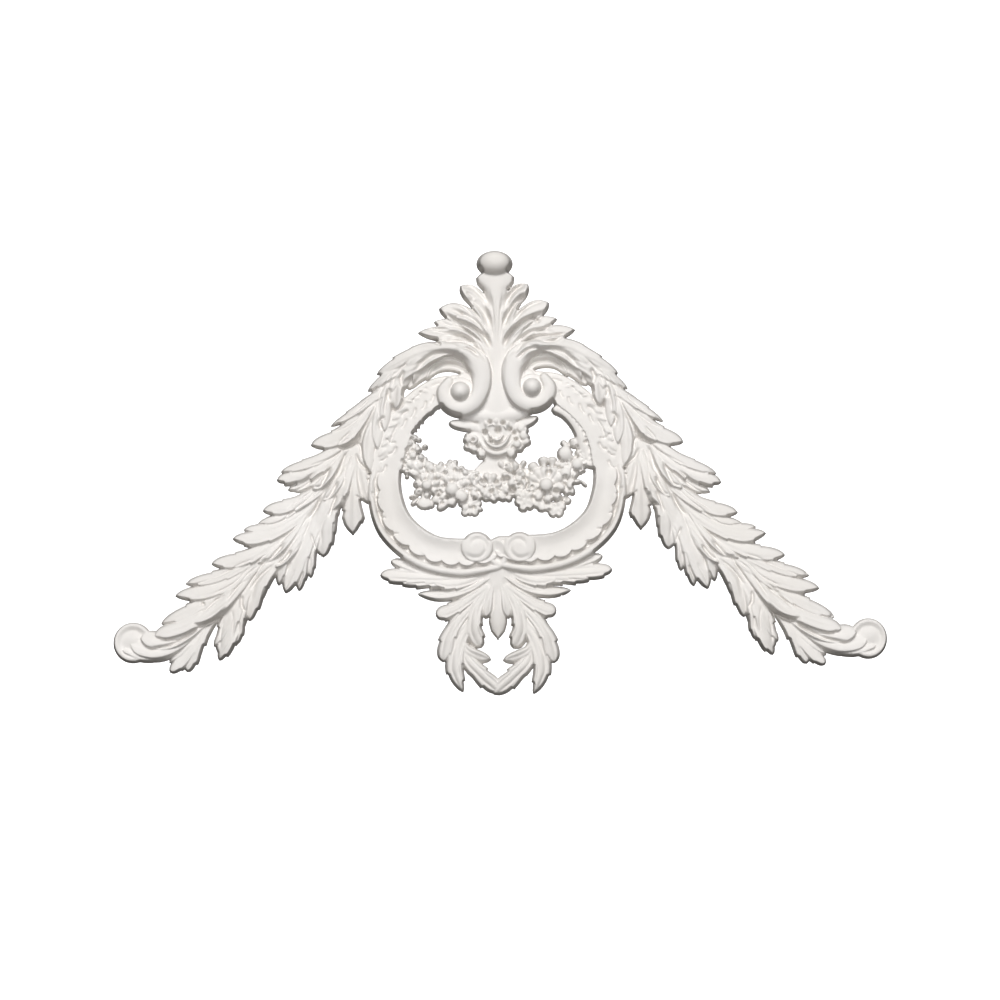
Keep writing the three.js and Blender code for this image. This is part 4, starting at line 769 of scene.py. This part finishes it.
def leaflets(p, flip, length):
    """Small overlapping leaves down both sides of the ring's upper arm."""
    s = np.concatenate([[0], np.cumsum(np.linalg.norm(np.diff(p, axis=0), axis=1))])

    def place(a, out):
        q = np.array([np.interp(a, s, p[:, 0]), np.interp(a, s, p[:, 1])])
        r = np.array([np.interp(a + 1, s, p[:, 0]), np.interp(a + 1, s, p[:, 1])])
        t = (r - q) / np.linalg.norm(r - q)
        return q + out * flip * np.array([-t[1], t[0]])

    rng = np.random.default_rng(5)
    for side, first, last, reach in ((-1, 6, 108, 1.1), (1, 30, 104, .7)):
        a = first
        while a < last:
            w = width_at(np.array(a / length), 1, {"wa": RING_WIDTH})
            size = rng.uniform(.6, 1.3)
            pts = np.concatenate([place(a, side * rng.uniform(0, 3)), place(a + 6.5 * size, side * w * .5), place(a + 11 * size, side * w * reach)])
            lobe(pts.tolist(), 3.3 * size, [16.5, 18.4, 21.2 if side < 0 else 17.6],
                 {"m": .55, "q": .7, "c": .12, "t": 0, "dr": 2.6 if side < 0 else 1.2, "sl": 2.2}, n=8)
            a += rng.uniform(5, 12)


def fill_swag(at, inside, x, y):
    """Berries and florets that crowd the spaces between the flowers."""
    rng = np.random.default_rng(11)
    for gy in np.arange(438, 514, 5.6):
        for gx in np.arange(400, 600, 6.2):
            cx, cy = gx + rng.uniform(-1.7, 1.7), gy + rng.uniform(-1.7, 1.7)
            r, h, turn, kind = rng.uniform(2.5, 3.5), rng.uniform(13, 17), rng.uniform(0, 360), rng.uniform()
            near = np.argmin((x - cx) ** 2 + (y - cy) ** 2)
            if inside.flat[near] < 1. or (470 < cx < 535 and cy < 476):
                continue
            if kind < .45:
                dome(cx, cy, r, r, h, h - r, 2., 5.)
            else:
                for k in range(4):
                    a = np.radians(turn + 90 * k)
                    dome(cx + 2.5 * np.cos(a), cy + 2.5 * np.sin(a), 2.3, 2.3, h, h - 2, 2., 5.)


def carve():
    # the curls: a raised rim round a hollow face, under the sheaths of the stem
    for cx, cy, rx, ry in ((134, 644, 20, 20.5), (867.5, 639.5, 19, 20.5)):
        dome(cx, cy, rx, ry, 15, 12, 4)
        at, x, y = window(cx - 22, cx + 22, cy - 22, cy + 22)
        r = np.sqrt((x - cx) ** 2 + (y - cy) ** 2)
        off = np.sqrt((x - cx + (1 if cx < AXIS else -1)) ** 2 + (y - cy + 2.5) ** 2)
        TOP[at] -= (3.6 - 2.6 * ramp(1.1 - off / 11)) * ramp((16.8 - r) / 5.5) * (TOP[at] > 3)
    for name, pts, half, h, o in WING + MIDDLE:
        lobe(pts, half, h, o)
        lobe(mirrored(pts), half, h, o, -1.)
    for name, pts, half, h, o, side in CREST:
        lobe(pts, half, h, o, side)
    for name, pts, half, h, o in CENTRE:
        lobe(pts, half, h, o)
    ring(RING_PATH, 1.)
    ring(mirrored(RING_PATH), -1.)
    # the upper volutes: a hollow round the eye, and the eye itself
    for cx, cy, r in ((467, 385, 11), (525.5, 381, 10.5)):
        dome(cx, cy, r, r, 19, 18, 5)
    for cx, cy, r in ((460, 394, 10), (532, 390, 9.5)):
        dome(cx, cy, r + 4.5, r + 4.5, 25, 23, 6)
        dome(cx, cy, r, r, 42, 23)
    # the foot volutes: a flat disc with a spiral cut and a small eye
    for cx, side in ((477, 1), (519.5, -1)):
        dome(cx, 548.5, 16, 16, 26, 22, 4)
    dome(494.5, 263.5, 18.2, 13.5, 36, 13, 2.3)
    fill_swag(*lobe(SWAG[1], SWAG[2], SWAG[3], SWAG[4], n=60))
    dome(498, 440, 32, 17.5, 15, 11, 4)
    for pts, half, h in CUPS:
        lobe(pts, half, [h - 1, h, h - 1], {"m": .5, "b": .25, "tip": .25, "q": .5, "c": .3, "t": 0, "dr": 6.})
    for f in FLOWERS:
        flower(*f)
    for name, pts, half, h, o in SWAG_LEAVES:
        lobe(pts, half, h, o)
    for row in PETALS:
        petal(*row)
    for x, y, r, h in BEADS:
        dome(x, y, r, r, h, h - r * 1.0, 2., 5.)
    for pts, wide, depth in CUTS:
        groove(pts, wide, depth)
    for pts, wide, depth in PAIRED_CUTS:
        groove(pts, wide, depth, .18)
        groove(mirrored(pts), wide, depth, .18)
    for pts, wide, rise in RIDGES:
        ridge(pts, wide, rise)
    for x, y, r, depth in DOTS:
        sink(x, y, r, depth)
    for cx, side in ((477, 1), (519.5, -1)):
        a = np.linspace(.15, 2.1, 30) * np.pi
        r = 13.2 - 4.6 * (a / np.pi - .15)
        groove(np.stack([cx - side * r * np.cos(a), 548.5 + r * np.sin(a)], 1).ravel().tolist(), 2.2, 2., .12, 60)


def from_edge(field):
    """Distance to the outline for each place inside it, in drawing units, exact to a part of a step."""
    reach = 22

    def down(f):
        v = np.zeros_like(f)
        for j in range(1, len(f)):
            into = f[j] / np.maximum(f[j] - f[j - 1], 1e-9)
            v[j] = np.where(f[j] <= 0, 0, np.where(f[j - 1] > 0, v[j - 1] + 1, np.clip(into, 0, 1)))
        return np.minimum(v, reach)

    def one_way(f):
        v = np.minimum(down(f), down(f[::-1])[::-1]) ** 2
        best = v.copy()
        for k in range(1, reach):
            best[:, k:] = np.minimum(best[:, k:], v[:, :-k] + k * k)
            best[:, :-k] = np.minimum(best[:, :-k], v[:, k:] + k * k)
        return np.sqrt(best)

    return np.minimum(one_way(field), one_way(field.T.copy()).T) * STEP


def soften(a, times):
    for _ in range(times):
        a = np.pad(a, 1, mode="edge")
        a = (a[:-2] + 2 * a[1:-1] + a[2:]) / 4
        a = (a[:, :-2] + 2 * a[:, 1:-1] + a[:, 2:]) / 4
    return a


def unevenness(cell, seed):
    """Smooth random swell, one value per cell of the drawing, between -1 and 1."""
    rng = np.random.default_rng(seed)
    gx, gy = (XS - XS[0]) / cell, (YS - YS[0]) / cell
    v = rng.uniform(-1, 1, (int(gy[-1]) + 3, int(gx[-1]) + 3))
    ix, iy = gx.astype(int), gy.astype(int)
    fx, fy = ramp(gx - ix)[None, :], ramp(gy - iy)[:, None]
    a, b = v[np.ix_(iy, ix)], v[np.ix_(iy, ix + 1)]
    c, d = v[np.ix_(iy + 1, ix)], v[np.ix_(iy + 1, ix + 1)]
    return (a * (1 - fx) + b * fx) * (1 - fy) + (c * (1 - fx) + d * fx) * fy


# ---- from heights to a mesh -------------------------------------------------------------------
def front_mesh(h):
    """Triangles of the carved front, cut off where the height is nought."""
    rows, cols = h.shape
    ids = np.arange(rows * cols).reshape(rows, cols)
    a, b, c, d = (ids[:-1, :-1].ravel(), ids[:-1, 1:].ravel(), ids[1:, 1:].ravel(), ids[1:, :-1].ravel())
    flat = h.ravel()
    keep = (flat[a] > 0) | (flat[b] > 0) | (flat[c] > 0) | (flat[d] > 0)
    a, b, c, d = a[keep], b[keep], c[keep], d[keep]
    other = np.abs(flat[a] - flat[c]) > np.abs(flat[b] - flat[d])
    tri = np.concatenate([
        np.stack([a, d, c], 1)[~other], np.stack([a, c, b], 1)[~other],
        np.stack([a, d, b], 1)[other], np.stack([b, d, c], 1)[other]])
    inside = flat[tri] > 0
    count = inside.sum(1)
    x = np.tile(XS, rows)
    y = np.repeat(YS, cols)
    whole = tri[count == 3]
    one, two = tri[count == 1], tri[count == 2]
    # turn each so that its odd corner comes first
    def turned(t, odd):
        k = np.argmax(odd, 1)
        r = np.arange(len(t))
        return t[r, k], t[r, (k + 1) % 3], t[r, (k + 2) % 3]
    p, q, r = turned(one, flat[one] > 0)
    s, t, u = turned(two, flat[two] <= 0)
    cuts = np.concatenate([np.stack([p, q], 1), np.stack([p, r], 1), np.stack([t, s], 1), np.stack([u, s], 1)])
    lo, hi = cuts.min(1), cuts.max(1)
    key, back = np.unique(lo.astype(np.int64) * len(flat) + hi, return_inverse=True)
    ka, kb = (key // len(flat)).astype(int), (key % len(flat)).astype(int)
    f = flat[ka] / (flat[ka] - flat[kb])
    cx, cy = x[ka] + (x[kb] - x[ka]) * f, y[ka] + (y[kb] - y[ka]) * f
    n = len(flat)
    m1, m2 = len(p), len(s)
    pq, pr, ts, us = np.split(back + n, [m1, 2 * m1, 2 * m1 + m2])
    faces = np.concatenate([whole, np.stack([p, pq, pr], 1), np.stack([ts, t, u], 1), np.stack([ts, u, us], 1)])
    px, py = np.concatenate([x, cx]), np.concatenate([y, cy])
    ph = np.concatenate([flat, np.zeros(len(cx))])
    used, faces = np.unique(faces, return_inverse=True)
    faces = faces.reshape(-1, 3)
    verts = np.stack([(px[used] - AXIS) * UNIT, -ph[used], (STEM_Y - py[used]) * UNIT], 1) / 1000
    return verts, faces


def make_mesh(name, verts, faces):
    mesh = bpy.data.meshes.new(name)
    mesh.vertices.add(len(verts))
    mesh.vertices.foreach_set("co", np.asarray(verts, np.float32).ravel())
    mesh.loops.add(faces.size)
    mesh.loops.foreach_set("vertex_index", np.asarray(faces, np.int32).ravel())
    mesh.polygons.add(len(faces))
    mesh.polygons.foreach_set("loop_start", np.arange(0, faces.size, 3, dtype=np.int32))
    mesh.update(calc_edges=True)
    return mesh


def thinned(verts, faces, target):
    obj = bpy.data.objects.new("front", make_mesh("front", verts, faces))
    bpy.context.scene.collection.objects.link(obj)
    mod = obj.modifiers.new("thin", "DECIMATE")
    mod.ratio = min(1., target / len(faces))
    mesh = bpy.data.meshes.new_from_object(obj.evaluated_get(bpy.context.evaluated_depsgraph_get()))
    co = np.zeros(len(mesh.vertices) * 3, np.float32)
    mesh.vertices.foreach_get("co", co)
    mesh.calc_loop_triangles()
    tri = np.zeros(len(mesh.loop_triangles) * 3, np.int32)
    mesh.loop_triangles.foreach_get("vertices", tri)
    bpy.data.objects.remove(obj)
    bpy.data.meshes.remove(mesh)
    return co.reshape(-1, 3).astype(float), tri.reshape(-1, 3)


def with_back(verts, faces):
    """Closes the front with a flat back, filled in between the outlines."""
    e = np.concatenate([faces[:, [0, 1]], faces[:, [1, 2]], faces[:, [2, 0]]])
    s = np.sort(e, 1)
    key, index, count = np.unique(s[:, 0].astype(np.int64) * len(verts) + s[:, 1], return_index=True, return_counts=True)
    rim = e[index[count == 1]]
    verts = verts.copy()
    ids = np.unique(rim)
    verts[ids, 1] = 0
    local = {int(v): i for i, v in enumerate(ids)}
    flat = [Vector((verts[v, 0] * 1000, verts[v, 2] * 1000)) for v in ids]
    edges = [(local[int(a)], local[int(b)]) for a, b in rim]
    pts, _, tris, origin, _, _ = delaunay_2d_cdt(flat, edges, [], 0, 1e-6)
    # a triangle of the filling belongs to the back when its middle is under the casting
    tri = np.array([t for t in tris if len(t) == 3], int)
    xy = np.array([[p.x, p.y] for p in pts])
    mid = xy[tri].mean(1)
    gx = np.clip(((mid[:, 0] / UNIT + AXIS) - XS[0]) / STEP, 0, len(XS) - 1.01)
    gy = np.clip(((STEM_Y - mid[:, 1] / UNIT) - YS[0]) / STEP, 0, len(YS) - 1.01)
    ix, iy = gx.astype(int), gy.astype(int)
    fx, fy = gx - ix, gy - iy
    hh = (H[iy, ix] * (1 - fx) + H[iy, ix + 1] * fx) * (1 - fy) + (H[iy + 1, ix] * (1 - fx) + H[iy + 1, ix + 1] * fx) * fy
    tri = tri[hh > 0]
    # back to the numbers of the front's own corners
    number = np.array([ids[o[0]] if o else -1 for o in origin])
    extra = np.where(number < 0)[0]
    if len(extra):
        number[extra] = len(verts) + np.arange(len(extra))
        verts = np.vstack([verts, np.stack([xy[extra, 0] / 1000, np.zeros(len(extra)), xy[extra, 1] / 1000], 1)])
    back = number[tri]
    p = verts[back]
    up = np.cross(p[:, 1] - p[:, 0], p[:, 2] - p[:, 0])[:, 1]
    back[up < 0] = back[up < 0][:, ::-1]
    return verts, np.concatenate([faces, back]), len(faces)


def close_up(mesh):
    """Takes out the faces that crowd on one edge, and fills the small holes that are left."""
    bm = bmesh.new()
    bm.from_mesh(mesh)
    for turn in range(4):
        crowded = [f for f in bm.faces if any(len(e.link_faces) > 2 for e in f.edges)]
        bmesh.ops.delete(bm, geom=crowded, context="FACES_ONLY")
        bmesh.ops.delete(bm, geom=[e for e in bm.edges if not e.link_faces], context="EDGES")
        bmesh.ops.delete(bm, geom=[v for v in bm.verts if not v.link_edges], context="VERTS")
        rim = [e for e in bm.edges if len(e.link_faces) == 1]
        print("open edges", len(rim), "crowded faces", len(crowded))
        if not rim:
            break
        made = bmesh.ops.holes_fill(bm, edges=rim, sides=0)["faces"]
        print("filled", len(made), "widest", max([len(f.verts) for f in made] + [0]), "area", sum(f.calc_area() for f in made))
        bmesh.ops.triangulate(bm, faces=made)
    bm.to_mesh(mesh)
    bm.free()


carve()
TOP = soften(TOP, 1) + .30 * unevenness(14, 3) + .14 * unevenness(5, 4)
WALL = DRAFT * UNIT * np.where(EDGE > 0, soften(from_edge(EDGE), 1), EDGE)
H = np.where(EDGE > 0, np.maximum(blend_min(TOP, WALL, 2.2), .02), WALL)
verts, faces = front_mesh(H)
print("front", len(faces))
verts, faces = thinned(verts, faces, 186000)
verts, faces, front_count = with_back(verts, faces)
print("casting", len(faces), "back", len(faces) - front_count)

mesh = make_mesh("acanthus_casting", verts, faces)
mesh.validate()
close_up(mesh)
verts = np.zeros(len(mesh.vertices) * 3, np.float32)
mesh.vertices.foreach_get("co", verts)
verts = verts.reshape(-1, 3)
corner = np.zeros(len(mesh.loops), np.int32)
mesh.loops.foreach_get("vertex_index", corner)
smooth = (np.abs(verts[corner.reshape(-1, 3), 1]) > 1e-7).any(1)
mesh.polygons.foreach_set("use_smooth", smooth)
casting = bpy.data.objects.new("acanthus_casting", mesh)
bpy.context.scene.collection.objects.link(casting)
# the flat back meets the walls at a crisp edge
sharp = np.zeros(len(mesh.edges), bool)
ev = np.zeros(len(mesh.edges) * 2, np.int32)
mesh.edges.foreach_get("vertices", ev)
ev = ev.reshape(-1, 2)
sharp[(np.abs(verts[ev[:, 0], 1]) < 1e-7) & (np.abs(verts[ev[:, 1], 1]) < 1e-7)] = True
mesh.edges.foreach_set("use_edge_sharp", sharp)


# ---- finish -----------------------------------------------------------------------------------
def white_finish():
    m = bpy.data.materials.new("primed_white")
    m.use_nodes = True
    t = m.node_tree
    t.nodes.clear()
    out = t.nodes.new("ShaderNodeOutputMaterial")
    b = t.nodes.new("ShaderNodeBsdfPrincipled")
    t.links.new(b.outputs["BSDF"], out.inputs["Surface"])
    b.inputs["Specular IOR Level"].default_value = .08
    where = t.nodes.new("ShaderNodeTexCoord")
    tone = t.nodes.new("ShaderNodeTexNoise")
    tone.inputs["Scale"].default_value = 9
    tone.inputs["Detail"].default_value = 5
    t.links.new(where.outputs["Object"], tone.inputs["Vector"])
    colour = t.nodes.new("ShaderNodeValToRGB")
    colour.color_ramp.elements[0].position = .3
    colour.color_ramp.elements[0].color = (.70, .674, .643, 1)
    colour.color_ramp.elements[1].position = .72
    colour.color_ramp.elements[1].color = (.755, .734, .712, 1)
    t.links.new(tone.outputs["Fac"], colour.inputs["Fac"])
    t.links.new(colour.outputs["Color"], b.inputs["Base Color"])
    rough = t.nodes.new("ShaderNodeMapRange")
    rough.inputs["To Min"].default_value = .74
    rough.inputs["To Max"].default_value = .9
    grain = t.nodes.new("ShaderNodeTexNoise")
    grain.inputs["Scale"].default_value = 60
    grain.inputs["Detail"].default_value = 3
    t.links.new(where.outputs["Object"], grain.inputs["Vector"])
    t.links.new(grain.outputs["Fac"], rough.inputs["Value"])
    t.links.new(rough.outputs["Result"], b.inputs["Roughness"])
    fine = t.nodes.new("ShaderNodeTexNoise")
    fine.inputs["Scale"].default_value = 420
    fine.inputs["Detail"].default_value = 4
    t.links.new(where.outputs["Object"], fine.inputs["Vector"])
    bump = t.nodes.new("ShaderNodeBump")
    bump.inputs["Strength"].default_value = .12
    bump.inputs["Distance"].default_value = .0006
    t.links.new(fine.outputs["Fac"], bump.inputs["Height"])
    t.links.new(bump.outputs["Normal"], b.inputs["Normal"])
    return m


mesh.materials.append(white_finish())
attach(casting, "root")
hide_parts("acanthus_applique")


# ---- stage, light and camera ------------------------------------------------------------------
def plane(name, size, at, turn, colour, glow=0.):
    bpy.ops.mesh.primitive_plane_add(size=size, location=at, rotation=turn)
    o = bpy.context.object
    o.name = name
    m = bpy.data.materials.new(name)
    m.use_nodes = True
    b = m.node_tree.nodes["Principled BSDF"]
    b.inputs["Base Color"].default_value = (*colour, 1)
    b.inputs["Roughness"].default_value = .9
    if glow:
        b.inputs["Emission Color"].default_value = (1, 1, 1, 1)
        b.inputs["Emission Strength"].default_value = glow
    o.data.materials.append(m)
    return o


backdrop = plane("backdrop", 8, (0, 1.2, 0), (np.pi / 2, 0, 0), (.95, .95, .95), 1.0)
for flag in ("visible_diffuse", "visible_glossy", "visible_transmission", "visible_shadow"):
    setattr(backdrop, flag, False)
floor = plane("floor", 8, (0, -1.5, -1.4), (0, 0, 0), (.86, .86, .85))
floor.visible_diffuse = False


def softbox(name, at, toward, size, power):
    light = bpy.data.lights.new(name, "AREA")
    light.shape = "DISK"
    light.size = size
    light.energy = power
    o = bpy.data.objects.new(name, light)
    bpy.context.scene.collection.objects.link(o)
    o.location = at
    o.rotation_euler = (Vector(toward) - Vector(at)).to_track_quat("-Z", "Y").to_euler()
    return o


CENTRE_POINT = (.0033, 0, -.121)
softbox("key", (-.2, -5.2, 3.4), CENTRE_POINT, 2., 318)
softbox("front", (.4, -6.4, .1), CENTRE_POINT, 2.2, 168)

world = bpy.data.worlds.new("studio")
bpy.context.scene.world = world
world.use_nodes = True
world.node_tree.nodes["Background"].inputs["Color"].default_value = (1, .93, .85, 1)
world.node_tree.nodes["Background"].inputs["Strength"].default_value = .065

scene = bpy.context.scene
scene.view_settings.view_transform = "Standard"
scene.view_settings.look = "None"
DISTANCE = 8.
TILT = np.radians(4.6)
cam = bpy.data.cameras.new("camera")
cam.sensor_width = 36
cam.lens = 36 * DISTANCE / 1.1
camera = bpy.data.objects.new("camera", cam)
scene.collection.objects.link(camera)
camera.location = (CENTRE_POINT[0], -DISTANCE * np.cos(TILT), CENTRE_POINT[2] - .0008 - DISTANCE * np.sin(TILT))
camera.rotation_euler = (np.pi / 2 + TILT, 0, 0)
scene.camera = camera
